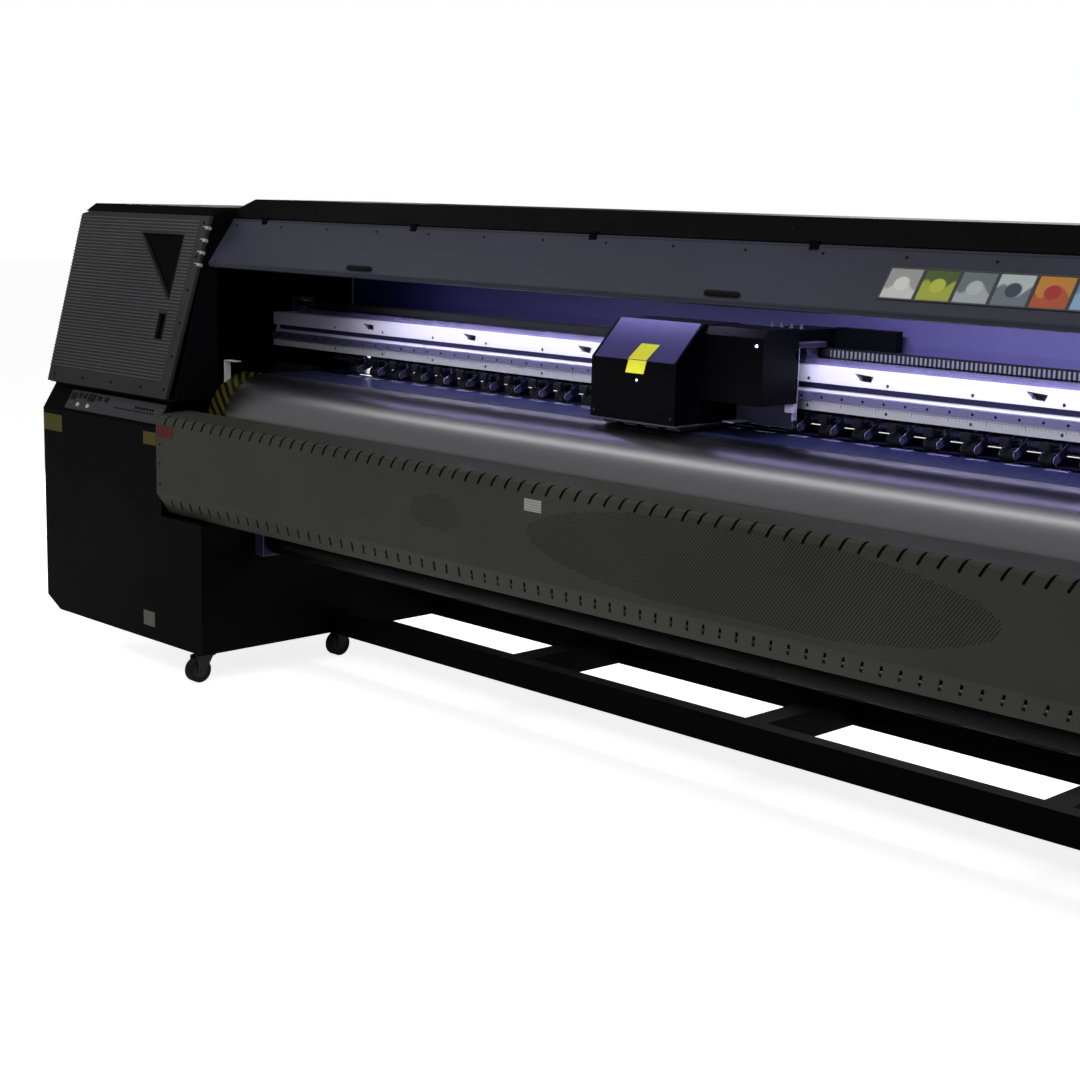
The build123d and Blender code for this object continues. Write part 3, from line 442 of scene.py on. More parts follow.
# Painted light: the colour goes from painted shade at the left end to painted light at the right.
painted_light_ramp = ramp(tree, parts_of(tree, place_in(tree))[0], -1.1, 1.8)
painted_shade_end = between(tree, upright["Streak"], (0.010, 0.009, 0.045, 1), (0.014, 0.013, 0.060, 1))
painted_light_end = between(tree, upright["Streak"], (0.085, 0.078, 0.18, 1), (0.110, 0.102, 0.225, 1))
outside = calc(tree, "GREATER_THAN", parts_of(tree, place_in(tree))[1], 0.2243)
inside_with_painted_light = between(tree, painted_light_ramp, painted_shade_end, painted_light_end)
wire(tree, shader, Base_Color=between(tree, outside, inside_with_painted_light, (0.010, 0.010, 0.012, 1)),
     Roughness=calc(tree, "MULTIPLY_ADD", upright["Smudge"], 0.12, 0.34),
     Normal=add(tree, "ShaderNodeBump", None, Strength=0.08, Distance=0.0005,
                Height=upright["Height"]).outputs[0])
finish_of["inner_wall"] = finish
print("wall done")

# %% [markdown]
# ## The lamp strip
# A diffuser bar with diodes behind it glows violet-white. Emission is brighter over each diode, which a
# sine along X gives, so that the bar reads as a row of lamps close up.

# %% Lamp strip
finish, tree, shader = blank("led_violet", Roughness=0.4, Emission_Strength=6.0)
LAMP_WAVE = 190.0
along = parts_of(tree, place_in(tree))[0]
pulse = ramp(tree, calc(tree, "SINE", times(tree, along, LAMP_WAVE)), -1.0, 1.0)
wire(tree, shader, Base_Color=between(tree, pulse, (0.4, 0.38, 0.6, 1), (0.8, 0.8, 0.9, 1)),
     Emission_Color=between(tree, pulse, (0.30, 0.24, 0.75, 1), (0.75, 0.70, 1.0, 1)))
finish_of["led_violet"] = finish
print("lamp done")

# %% [markdown]
# ## The encoder film
# The carriage reads its place from a clear film with thousands of fine lines. At this scale they are a
# grey shimmer, so a fast sine along X darkens a glossy blue-black film.

# %% Encoder film
finish, tree, shader = blank("encoder_film", Roughness=0.15, Specular_IOR_Level=0.5)
LINE_WAVE = 3000.0
along = parts_of(tree, place_in(tree))[0]
lines = ramp(tree, calc(tree, "SINE", times(tree, along, LINE_WAVE)), -0.3, 0.3)
wire(tree, shader, Base_Color=between(tree, lines, (0.012, 0.012, 0.05, 1), (0.05, 0.05, 0.14, 1)))
finish_of["encoder_film"] = finish
print("film done")

# %% [markdown]
# ## Striped end caps
# The caps beside the guide carry slanted warning bands. Adding X, Y and Z before a sawtooth slants the
# bands, whichever way a face looks, and a noise wears the yellow away in places.

# %% Striped caps
STRIPE_PITCH = 0.040

finish, tree, shader = blank("caution_stripe", Specular_IOR_Level=0.25)
spot = place_in(tree)
x, y, z = parts_of(tree, spot)[0:3]
slant = plus(tree, plus(tree, x, y), z)
phase = calc(tree, "FRACT", over(tree, slant, STRIPE_PITCH))
band = ramp(tree, calc(tree, "ABSOLUTE", minus(tree, phase, 0.5)), 0.24, 0.26)
rubbed = noise(tree, spot, 40.0, 5.0)
yellow = between(tree, ramp(tree, rubbed, 0.55, 0.7), (0.085, 0.078, 0.007, 1), (0.05, 0.045, 0.010, 1))
wire(tree, shader, Base_Color=between(tree, band, yellow, (0.006, 0.006, 0.006, 1)),
     Roughness=ramp(tree, rubbed, 0.3, 0.7, 0.35, 0.6))
finish_of["caution_stripe"] = finish
print("stripes done")

# %% [markdown]
# ## Sticker plates
# Blank notices sit on the cabinets and on the dryer. They carry no words: fine level lines stand for
# the rows of a notice, and each plate takes its colour from where it sits along the machine.

# %% Stickers
RULE_PITCH = 0.0065
YELLOW, RED, WHITE = (0.11, 0.098, 0.007, 1), (0.14, 0.015, 0.010, 1), (0.50, 0.50, 0.48, 1)

finish, tree, shader = blank("sticker", Specular_IOR_Level=0.3)
spot = place_in(tree)
x, y, z = parts_of(tree, spot)[0:3]
colour = between(tree, calc(tree, "GREATER_THAN", x, -1.92), YELLOW, RED)
colour = between(tree, calc(tree, "GREATER_THAN", x, -0.5), colour, WHITE)
low_plate = times(tree, calc(tree, "LESS_THAN", z, 0.3), 0.8)
colour = between(tree, low_plate, colour, (0.2, 0.2, 0.2, 1))
rule = calc(tree, "FRACT", over(tree, z, RULE_PITCH))
ink = times(tree, calc(tree, "GREATER_THAN", rule, 0.7), 0.75)
fade = noise(tree, spot, 80.0, 4.0)
wire(tree, shader, Base_Color=between(tree, times(tree, ink, fade), colour, (0.01, 0.01, 0.01, 1)),
     Roughness=ramp(tree, fade, 0.3, 0.7, 0.3, 0.5))
finish_of["sticker"] = finish
print("stickers done")

# %% [markdown]
# ## Sample prints on the hood
# Eight small prints show what the machine can do. Nothing is copied from a real picture: each tile gets two
# colours from a ramp by its number, and a slow wave and a soft disc inside the tile mix them.

# %% Sample prints
tiles_low, tiles_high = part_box("hood_tiles")
TILE_PITCH, TILE_WIDTH, TILES = 0.089, 0.080, 8
TILE_COLOURS = [((0.30, 0.30, 0.29), (0.62, 0.62, 0.60)), ((0.05, 0.09, 0.01), (0.42, 0.46, 0.03)),
                ((0.12, 0.15, 0.15), (0.40, 0.44, 0.46)), ((0.42, 0.47, 0.47), (0.02, 0.04, 0.07)),
                ((0.50, 0.20, 0.02), (0.36, 0.015, 0.01)), ((0.10, 0.25, 0.42), (0.26, 0.42, 0.58)),
                ((0.30, 0.26, 0.10), (0.10, 0.20, 0.06)), ((0.22, 0.05, 0.16), (0.50, 0.40, 0.46))]


def stepped(tree, value, colours):
    """A colour ramp that jumps from one tile's colour to the next."""
    node = add(tree, "ShaderNodeValToRGB", None, Fac=value)
    node.color_ramp.interpolation = "CONSTANT"
    stops = node.color_ramp.elements
    while len(stops) < len(colours):
        stops.new(1.0)
    for i, colour in enumerate(colours):
        stops[i].position = i / len(colours)
        stops[i].color = (*colour, 1)
    return node.outputs[0]


finish, tree, shader = blank("tile_print", Coat_Weight=0.6, Coat_Roughness=0.15)
spot = place_in(tree)
x, y, z = parts_of(tree, spot)[0:3]
count = over(tree, minus(tree, x, tiles_low.x), TILE_PITCH)
number = over(tree, plus(tree, calc(tree, "FLOOR", count), 0.5), float(TILES))
across = minus(tree, times(tree, calc(tree, "FRACT", count), TILE_PITCH / TILE_WIDTH), 0.5)
tall = minus(tree, ramp(tree, z, tiles_low.z, tiles_high.z), 0.5)
far = calc(tree, "POWER", plus(tree, times(tree, across, across), times(tree, tall, tall)), 0.5)
wave = calc(tree, "SINE", plus(tree, times(tree, across, 7.0), times(tree, number, 23.0)))
hill = ramp(tree, minus(tree, times(tree, wave, 0.18), tall), -0.05, 0.05)
disc = ramp(tree, far, 0.22, 0.26, 1.0, 0.0)
mixed = calc(tree, "MAXIMUM", times(tree, hill, 0.75), disc)
TILE_LIFT = 1.45
picture = between(tree, mixed, stepped(tree, number, [c[0] for c in TILE_COLOURS]),
                  stepped(tree, number, [c[1] for c in TILE_COLOURS]))
picture = vector_calc(tree, "SCALE", picture, scale=TILE_LIFT)
speck = noise(tree, spot, 900.0, 2.0)
wire(tree, shader, Base_Color=between(tree, times(tree, speck, 0.08), picture, (0.02, 0.02, 0.02, 1)),
     Roughness=ramp(tree, speck, 0.3, 0.7, 0.25, 0.4))
finish_of["tile_print"] = finish
print("tiles from X", round(tiles_low.x, 3), "to", round(tiles_high.x, 3))

# %% [markdown]
# ## Cooling slots pressed into the legs
# The legs' outer and rear faces are the farthest the machine reaches, so their slots are pressed into the
# sheet by the finish and nothing stands on it. A slot is where two sawtooth waves, one along the face and one
# up it, are both near their middle. A limit on each side stops the pattern at the edge of its block. Inside
# a slot the colour is near-black, painted shade for the open slot, and a bump presses it in.

# %% Leg slots
SLOT_LONG, SLOT_TALL, SLOT_STEP, SLOT_RISE = 0.068, 0.006, 0.085, 0.016


def in_wave(tree, value, first, step, count, wide):
    """1 where value lies in one of count stretches, wide across and step apart, else 0."""
    start = first - step / 2
    phase = calc(tree, "FRACT", over(tree, minus(tree, value, start), step))
    near = calc(tree, "LESS_THAN", calc(tree, "ABSOLUTE", minus(tree, phase, 0.5)), wide / step / 2)
    within = times(tree, calc(tree, "GREATER_THAN", value, start),
                  calc(tree, "LESS_THAN", value, start + count * step))
    return times(tree, near, within)


finish = finish_of["cabinet_black"]
tree, shader = finish.node_tree, finish.node_tree.nodes["Principled BSDF"]
paint, skin = (shader.inputs[name].links[0].from_socket for name in ("Base Color", "Normal"))
x, y, z = parts_of(tree, place_in(tree))[0:3]
door = times(tree, in_wave(tree, y, -0.05, SLOT_STEP, 4, SLOT_LONG),
            in_wave(tree, z, 0.27, SLOT_RISE, 8, SLOT_TALL))
door = times(tree, door, calc(tree, "GREATER_THAN", calc(tree, "ABSOLUTE", x), 2.5995))
rear = calc(tree, "MAXIMUM", in_wave(tree, x, -2.42, SLOT_STEP, 5, SLOT_LONG),
            in_wave(tree, x, 2.08, SLOT_STEP, 5, SLOT_LONG))
rear = times(tree, rear, in_wave(tree, z, 0.30, SLOT_RISE, 12, SLOT_TALL))
rear = times(tree, rear, calc(tree, "GREATER_THAN", y, 0.5055))
slot_shade_mask = calc(tree, "MAXIMUM", door, rear)
pressed = add(tree, "ShaderNodeBump", {"invert": True}, Strength=0.8, Distance=0.002, Height=slot_shade_mask,
              Normal=skin)
# Painted shade: the slots turn near-black where the open slot would be in shade.
wire(tree, shader, Base_Color=between(tree, slot_shade_mask, paint, (0.0003, 0.0003, 0.0003, 1)),
     Normal=pressed.outputs[0])
print("leg slots done")

# %% [markdown]
# ## Ribs across the belt
# On the right the belt's front face is moulded with cross ribs. They are a sine along X in the finish,
# because the carriage's plate runs too close in front of the belt for anything to stand out of it. Their pale
# crests are painted highlights.

# %% Belt ribs
RIB_FROM, BELT_RIB_PITCH = 0.14, 0.0125
finish = finish_of["belt_rubber"]
tree, shader = finish.node_tree, finish.node_tree.nodes["Principled BSDF"]
plain = shader.inputs["Base Color"].links[0].from_socket
x, y, z = parts_of(tree, place_in(tree))[0:3]
# The pale stripes are painted highlights on the ribs' crests.
crest = ramp(tree, calc(tree, "SINE", times(tree, x, 2 * math.pi / BELT_RIB_PITCH)), -0.2, 0.3)
face = calc(tree, "LESS_THAN", y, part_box("drive_belt")[0].y + 0.0004)
ribbed = times(tree, times(tree, crest, face), calc(tree, "GREATER_THAN", x, RIB_FROM))
wire(tree, shader, Base_Color=between(tree, ribbed, plain, (0.11, 0.11, 0.13, 1)))
print("belt ribs done")

# %% [markdown]
# ## Put the finishes on the CAD nodes
# The record names a material slot for each node, and the finishes above carry the same names, so one loop
# dresses the whole machine. The meshes themselves are left alone.

# %% Dress the CAD nodes
for name, node in nodes.items():
    node.data.materials.clear()
    node.data.materials.append(finish_of[slot_of[name]])
print("dressed", len(nodes), "nodes with", len(set(slot_of.values())), "finishes")

# %% [markdown]
# ## A mesh helper
# Hand-made pieces start as simple closed bodies in one bmesh: boxes, outlines pushed along an axis, and
# discs. Their edges are then bevelled in the mesh itself, because no folded or moulded edge is sharp.


# %% Mesh helpers
def add_box(bm, low, high, place=None):
    """A closed box, turned and moved by place if that is given."""
    size = Vector(high) - Vector(low)
    middle = (Vector(low) + Vector(high)) / 2
    local = Matrix.Translation(middle) @ Matrix.Diagonal((*size, 1))
    bmesh.ops.create_cube(bm, size=1, matrix=(place or Matrix()) @ local)


def add_disc(bm, radius, low, high, sides=24, place=None, top_radius=None):
    """A closed round body from Z low to Z high in the space of place."""
    local = Matrix.Translation((0, 0, (low + high) / 2))
    bmesh.ops.create_cone(bm, cap_ends=True, segments=sides, radius1=radius,
                          radius2=radius if top_radius is None else top_radius, depth=high - low,
                          matrix=(place or Matrix()) @ local)


def add_turned(bm, profile, sides, place=None, closed=False):
    """A profile of (radius, Z) turned round Z. A closed profile makes a ring, an open one gets two lids."""
    place = place or Matrix()
    turns = [2 * math.pi * i / sides for i in range(sides)]
    rings = [[bm.verts.new(place @ Vector((r * math.cos(a), r * math.sin(a), z))) for a in turns]
             for r, z in profile]
    for low, high in zip(rings, rings[1:] + rings[:1] if closed else rings[1:]):
        for i in range(sides):
            j = (i + 1) % sides
            bm.faces.new((low[i], low[j], high[j], high[i]))
    if not closed:
        bm.faces.new(rings[-1])
        bm.faces.new(list(reversed(rings[0])))


def add_outline(bm, points, low, high, place=None):
    """A flat outline in XY pushed from Z low to Z high in the space of place."""
    place = place or Matrix()
    rings = [[bm.verts.new(place @ Vector((x, y, z))) for x, y in points] for z in (low, high)]
    bm.faces.new(list(reversed(rings[0])))
    bm.faces.new(rings[1])
    for i in range(len(points)):
        j = (i + 1) % len(points)
        bm.faces.new((rings[0][i], rings[0][j], rings[1][j], rings[1][i]))


def to_mesh(bm, name, bevel=0.0, segments=2):
    """The bmesh as mesh data, outward faces, with its sharp edges rounded by bevel metres."""
    bmesh.ops.recalc_face_normals(bm, faces=bm.faces)
    if bevel:
        sharp = [e for e in bm.edges if e.is_manifold and e.calc_face_angle(0) > math.radians(35)]
        bmesh.ops.bevel(bm, geom=sharp, offset=bevel, segments=segments, affect="EDGES", clamp_overlap=True)
    mesh = bpy.data.meshes.new(name)
    bm.to_mesh(mesh)
    bm.free()
    return mesh


def show(name, mesh, finish, body):
    """Puts a finished mesh in the scene as a piece that rides on a body."""
    piece = bpy.data.objects.new(name, mesh)
    bpy.context.scene.collection.objects.link(piece)
    if not mesh.materials:
        mesh.materials.append(finish_of[finish])
    mesh.shade_smooth()
    mesh.set_sharp_from_angle(angle=math.radians(35))
    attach(piece, body)
    print(f"{name}: {len(mesh.polygons)} faces on {body}")
    return piece


def aim(x_axis, z_axis, origin=(0, 0, 0)):
    """A placing matrix whose Z looks along z_axis and whose X lies along x_axis as nearly as it can."""
    z = Vector(z_axis).normalized()
    y = z.cross(Vector(x_axis)).normalized()
    return Matrix.Translation(origin) @ Matrix((y.cross(z), y, z)).transposed().to_4x4()


def outward(side, origin=(0, 0, 0)):
    """A placing matrix that looks out of the machine's left (-1) or right (1) end."""
    return aim((0, side, 0), (side, 0, 0), origin)


print("mesh helpers ready")

# %% [markdown]
# ## Geometry Nodes: a shape on a grid
# Screws, holes, slits and ticks all repeat in rows. Copying them by hand would hide the rule, so a tree
# states it: start here, step so far, so many times, then the same in a second direction. Every second row can
# be shifted, and an oval zone can limit where copies appear. The tree ends in real, separate geometry.


# %% Grid tree
def close_tree(tree, geometry, given, made):
    """Sends real geometry, with its finish, to the output of a tree."""
    real = add(tree, "GeometryNodeRealizeInstances", None, Geometry=geometry)
    dressed = add(tree, "GeometryNodeSetMaterial", None, Geometry=real.outputs[0], Material=given["Finish"])
    tree.links.new(dressed.outputs[0], made["Geometry"])
    print("tree", tree.name)


grid_tree, given, made = new_group(
    "ShapeOnGrid", "GeometryNodeTree",
    [("Geometry", "Geometry", None), ("Shape", "Object", None), ("Finish", "Material", None),
     ("Start", "Vector", None), ("Step", "Vector", None), ("Count", "Int", 2), ("Row Step", "Vector", None),
     ("Rows", "Int", 1), ("Shift", "Float", 0.0), ("Turn", "Vector", None), ("Zone Centre", "Vector", None),
     ("Zone Reach", "Vector", (1000.0, 1000.0, 1000.0))],
    [("Geometry", "Geometry")])
index = add(grid_tree, "GeometryNodeInputIndex").outputs[0]
column = calc(grid_tree, "MODULO", index, given["Count"])
row = calc(grid_tree, "FLOOR", over(grid_tree, index, given["Count"]))
shifted = calc(grid_tree, "MULTIPLY_ADD", calc(grid_tree, "MODULO", row, 2.0), given["Shift"], column)
first = vector_calc(grid_tree, "SCALE", given["Step"], scale=shifted)
second = vector_calc(grid_tree, "SCALE", given["Row Step"], scale=row)
here = vector_calc(grid_tree, "ADD", given["Start"], vector_calc(grid_tree, "ADD", first, second))
total = times(grid_tree, given["Count"], given["Rows"])
points = add(grid_tree, "GeometryNodePoints", None, Count=total, Position=here)
off = vector_calc(grid_tree, "SUBTRACT", here, given["Zone Centre"])
off = vector_calc(grid_tree, "DIVIDE", off, given["Zone Reach"])
inside = add(grid_tree, "FunctionNodeCompare", {"operation": "LESS_THAN"},
             i0=vector_calc(grid_tree, "LENGTH", off), i1=1.0)
shape = add(grid_tree, "GeometryNodeObjectInfo", None, Object=given["Shape"])
turn = add(grid_tree, "FunctionNodeEulerToRotation", None, Euler=given["Turn"])
copies = add(grid_tree, "GeometryNodeInstanceOnPoints", None, Points=points.outputs[0],
             Selection=inside.outputs[0], Instance=shape.outputs["Geometry"], Rotation=turn.outputs[0])
close_tree(grid_tree, copies.outputs[0], given, made)

# %% [markdown]
# ## Geometry Nodes: a round bar along lines
# Ribs, seals and hems are all a round section swept along a line. Curve to Mesh does that for every edge
# of a guide mesh at once, so a piece is only its lines and a radius.

# %% Bar tree
bar_tree, given, made = new_group(
    "BarAlongLines", "GeometryNodeTree",
    [("Geometry", "Geometry", None), ("Radius", "Float", 0.002), ("Sides", "Int", 8),
     ("Finish", "Material", None)],
    [("Geometry", "Geometry")])
lines = add(bar_tree, "GeometryNodeMeshToCurve", None, Mesh=given["Geometry"])
section = add(bar_tree, "GeometryNodeCurvePrimitiveCircle", None, Resolution=given["Sides"],
              Radius=given["Radius"])
swept = add(bar_tree, "GeometryNodeCurveToMesh", None, Curve=lines.outputs[0],
            Profile_Curve=section.outputs[0], Fill_Caps=True)
close_tree(bar_tree, swept.outputs[0], given, made)

# %% [markdown]
# ## Geometry Nodes: a shape along a path
# A cable chain is one link repeated along a path that doubles back on itself. The path is resampled at the
# link's pitch, and each copy turns only about Y to follow the path's tangent, so no link rolls over.

# %% Path tree
path_tree, given, made = new_group(
    "ShapeAlongPath", "GeometryNodeTree",
    [("Geometry", "Geometry", None), ("Shape", "Object", None), ("Pitch", "Float", 0.03),
     ("Finish", "Material", None)],
    [("Geometry", "Geometry")])
lines = add(path_tree, "GeometryNodeMeshToCurve", None, Mesh=given["Geometry"])
spaced = add(path_tree, "GeometryNodeResampleCurve", {"mode": "LENGTH"}, Curve=lines.outputs[0],
             Length=given["Pitch"])
tangent = add(path_tree, "GeometryNodeInputTangent").outputs[0]
turn = add(path_tree, "FunctionNodeAlignRotationToVector", {"axis": "X", "pivot_axis": "Y"}, Vector=tangent)
shape = add(path_tree, "GeometryNodeObjectInfo", None, Object=given["Shape"])
copies = add(path_tree, "GeometryNodeInstanceOnPoints", None, Points=spaced.outputs[0],
             Instance=shape.outputs["Geometry"], Rotation=turn.outputs[0])
close_tree(path_tree, copies.outputs[0], given, made)

# %% [markdown]
# ## Running a tree
# A tree runs as a modifier on a small carrier object. Its inputs are set by socket identifier before the
# object is first evaluated, the evaluated result is copied out as a plain mesh, and the carrier goes.


# %% Run a tree
def grow(tree, carrier_mesh, **values):
    """The plain mesh that the tree makes from carrier_mesh with these inputs."""
    carrier = bpy.data.objects.new("carrier", carrier_mesh)
    bpy.context.scene.collection.objects.link(carrier)
    modifier = carrier.modifiers.new("grow", "NODES")
    modifier.node_group = tree
    for item in tree.interface.items_tree:
        key = item.name.replace(" ", "_")
        if item.in_out == "INPUT" and key in values:
            modifier[item.identifier] = values[key]
    graph = bpy.context.evaluated_depsgraph_get()
    mesh = bpy.data.meshes.new_from_object(carrier.evaluated_get(graph), depsgraph=graph)
    carrier.modifiers.clear()
    bpy.data.objects.remove(carrier)
    return mesh


def grid(start, step, count, place=None, row_step=(0, 0, 0), rows=1, **more):
    """The inputs of one grid: count copies turned like place, a step apart, in rows a row_step apart."""
    return {"Start": start, "Step": step, "Count": count, "Row Step": row_step, "Rows": rows,
            "Turn": (place or Matrix()).to_euler(), **more}


def in_rows(name, shape, finish, body, rows):
    """One piece from several grids."""
    stamp = bpy.data.objects.new("stamp", shape)
    whole = bmesh.new()
    for row in rows:
        inputs = {k.replace(" ", "_"): v if isinstance(v, (int, float)) else tuple(v) for k, v in row.items()}
        part = grow(grid_tree, bpy.data.meshes.new("empty"), Shape=stamp, Finish=finish_of[finish], **inputs)
        whole.from_mesh(part)
    mesh = bpy.data.meshes.new(name)
    whole.to_mesh(mesh)
    whole.free()
    bpy.data.objects.remove(stamp)
    mesh.materials.append(finish_of[finish])
    return show(name, mesh, finish, body)


def bars(name, lines, radius, finish, body, sides=8):
    """One piece from lists of points: each list is a line, and a list that ends where it starts is a ring."""
    spots, pairs = [], []
    for line in lines:
        ring = (Vector(line[0]) - Vector(line[-1])).length < 1e-6
        kept = line[:-1] if ring else line
        pairs += [(len(spots) + i, len(spots) + i + 1) for i in range(len(kept) - 1)]
        pairs += [(len(spots) + len(kept) - 1, len(spots))] if ring else []
        spots += [tuple(p) for p in kept]
    guide = bpy.data.meshes.new("guide")
    guide.from_pydata(spots, pairs, [])
    mesh = grow(bar_tree, guide, Radius=radius, Sides=sides, Finish=finish_of[finish])
    return show(name, mesh, finish, body)


UP, FRONT, BACK, RIGHT, LEFT = (0, 0, 1), (0, -1, 0), (0, 1, 0), (1, 0, 0), (-1, 0, 0)
print("trees ready to run")

# %% [markdown]
# ## Screws
# The covers are held by low pan-head screws with a hexagon socket. One screw is a turned profile with a
# sunk six-sided socket, a few dozen faces in all, because it is repeated hundreds of times.


# %% Screw shape
def screw(radius=0.0042, height=0.0022, sides=14):
    """A pan head standing on Z 0: side, rounded shoulder, then a sunk hexagon."""
    bm = bmesh.new()
    profile = [(radius, 0.0), (radius, height * 0.55), (radius * 0.78, height), (radius * 0.45, height),
               (radius * 0.40, height * 0.35)]
    add_turned(bm, profile, sides)
    return to_mesh(bm, "screw")


print("screw faces:", len(screw().polygons))

# %% [markdown]
# ## The leaning front panels
# Each head has a leaning panel with about fifty fine level ribs, a plain border on its inner edge and top,
# and a plain band at its foot. The plane leans back by the same angle everywhere, so one function gives
# a point on it, and the ribs are only lines on that plane, broken where they meet the two windows.

# %% Leaning plane
panels_low, panels_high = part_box("ribbed_panels")
PANEL_FOOT, PANEL_TOP = panels_low.z, panels_high.z
LEAN_BACK, LEAN_TALL = 0.145, 0.552
LEAN = math.atan2(LEAN_BACK, LEAN_TALL)
INNER_FOOT, INNER_TOP = 1.905, 1.871
OUT_NORMAL = Vector((0, -math.cos(LEAN), math.sin(LEAN)))


def on_panel(side, x, z, lift=0.0):
    """The point at distance x from the middle and height z on a leaning panel, lifted out of it."""
    y = panels_low.y + (z - PANEL_FOOT) * math.tan(LEAN)
    return Vector((side * x, y, z)) + lift * OUT_NORMAL


def inner_edge(z):
    return INNER_FOOT + (INNER_TOP - INNER_FOOT) * (z - PANEL_FOOT) / (PANEL_TOP - PANEL_FOOT)


print("lean:", round(math.degrees(LEAN), 2), "degrees")

# %% Ribs
RIB_PITCH, RIB_RADIUS, BORDER, WINDOW_GAP = 0.0102, 0.0027, 0.042, 0.009
FOOT_BAND, TOP_BORDER = 0.053, 0.014
TRIANGLE = [(2.209, 1.341), (1.987, 1.341), (1.998, 1.150)]
SLOT = [(1.994, 1.027), (2.025, 1.027), (2.025, 1.102), (1.994, 1.102)]
RIB_END = panels_high.x - 0.0005


def window_span(z):
    """Where the windows lie at height z, as (near, far) distances, or None."""
    if TRIANGLE[2][1] - WINDOW_GAP < z < TRIANGLE[0][1] + WINDOW_GAP:
        share = min(1.0, max(0.0, (z - TRIANGLE[2][1]) / (TRIANGLE[0][1] - TRIANGLE[2][1])))
        near = TRIANGLE[2][0] + share * (TRIANGLE[1][0] - TRIANGLE[2][0])
        far = TRIANGLE[2][0] + share * (TRIANGLE[0][0] - TRIANGLE[2][0])
        return near - WINDOW_GAP, far + 1.6 * WINDOW_GAP
    if SLOT[0][1] - WINDOW_GAP < z < SLOT[2][1] + WINDOW_GAP:
        return SLOT[0][0] - WINDOW_GAP, SLOT[1][0] + WINDOW_GAP
    return None


rib_lines = []
for i in range(int((PANEL_TOP - TOP_BORDER - PANEL_FOOT - FOOT_BAND) / RIB_PITCH) + 1):
    z = PANEL_FOOT + FOOT_BAND + i * RIB_PITCH
    cuts = [inner_edge(z) + BORDER, *(window_span(z) or ()), RIB_END]
    for side in (-1, 1):
        for near, far in zip(cuts[::2], cuts[1::2]):
            rib_lines.append([on_panel(side, near, z), on_panel(side, far, z)])
# The ribs' lighter finish is a painted highlight on their crests.
bars("panel_ribs", rib_lines, RIB_RADIUS, "rib_crest", "machine")

# %% [markdown]
# ## Window seals and panel screws
# A rubber seal holds each window in its hole. It is the same sweep as a rib, only closed into a ring. The
# screws follow the slanted inner border, so their row steps along that slant.

# %% Seals and screws
rings = [[on_panel(side, x, z, 0.0005) for x, z in outline + outline[:1]] for side in (-1, 1)
         for outline in (TRIANGLE, SLOT)]
bars("window_seals", rings, 0.0026, "seal_rubber", "machine")

FIRST_SCREW, LAST_SCREW, SCREW_INSET = 0.88, 1.38, 0.020
panel_place = aim(RIGHT, OUT_NORMAL)
rows = []
for side in (-1, 1):
    low = on_panel(side, inner_edge(FIRST_SCREW) + SCREW_INSET, FIRST_SCREW)
    high = on_panel(side, inner_edge(LAST_SCREW) + SCREW_INSET, LAST_SCREW)
    rows.append(grid(low, (high - low) / 5, 6, panel_place))
    rows.append(grid(on_panel(side, 2.05, 0.876), (side * 0.17, 0, 0), 4, panel_place))
in_rows("panel_screws", screw(), "dark_screw", "machine", rows)

# %% [markdown]
# ## Bright clips at the top of the panels
# Between panel and fascia a few bent bright clips show, which hold the panel's inner edge to the roof. Each
# is a small step-shaped outline pushed across its width.

# %% Edge clips
bm = bmesh.new()
STEP = [(0, 0), (0.026, 0), (0.026, 0.004), (0.012, 0.004), (0.012, 0.010), (0, 0.010)]
for side in (-1, 1):
    for z in (1.372, 1.335, 1.298, 1.262):
        place = aim((side, 0, 0), OUT_NORMAL, on_panel(side, inner_edge(z) - 0.003, z, -0.012))
        flip = place @ Matrix.Scale(-1, 4, (0, 1, 0)) if side > 0 else place
        add_outline(bm, STEP, -0.003, 0.0125, flip)
show("edge_clips", to_mesh(bm, "edge_clips", 0.0008), "beam_silver", "machine")

# %% [markdown]
# ## Vents in the outer side of each head
# The electronics in the heads need air. Pressed louvres do that: each is a short half-round hood, open
# below. They stand only a little proud, in two columns on the side sheet.


# %% Louvres
def louvre(length, tall, proud):
    """A pressed hood on Z 0 along X: sloping from its top edge out to a lower lip."""
    bm = bmesh.new()
    section = [(-tall / 2, 0.0), (-tall / 2, proud), (-tall / 6, proud), (tall / 2, 0.0)]
    place = aim(BACK, RIGHT, (-length / 2, 0, 0))
    add_outline(bm, section, 0.0, length, place)
    return to_mesh(bm, "louvre", proud * 0.25)


shell_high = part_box("right_head_shell")[1]
rows = []
for side in (-1, 1):
    face = outward(side)
    start = Vector((side * shell_high.x, -0.16, 1.00))
    rows.append(grid(start, (0, 0, 0.020), 14, face, (0, 0.170, 0), 2))
in_rows("head_louvres", louvre(0.13, 0.011, 0.0036), "head_black", "machine", rows)

# %% [markdown]
# ## The hinged fascia
# The long sheet over the print zone is hinged under the roof. It gets a rolled hem along its low edge, two
# moulded pull handles and a thin frame round each sample print. All of it rides on the hood, so it swings
# with it.

# %% Fascia plane
hood_low, hood_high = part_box("front_hood")
HINGE = Vector((0, -0.244, 1.3915))
HOOD_EDGE = Vector((0, -0.341, 1.259))
UPHILL = (HINGE - HOOD_EDGE).normalized()
HOOD_NORMAL = Vector((0, -UPHILL.z, UPHILL.y))
HOOD_FACE = 0.0015


def on_hood(x, share, lift=0.0):
    """A point on the fascia at X, share of the way up from its low edge, lifted out of it."""
    return Vector((x, 0, 0)) + HOOD_EDGE + share * (HINGE - HOOD_EDGE) + (HOOD_FACE + lift) * HOOD_NORMAL


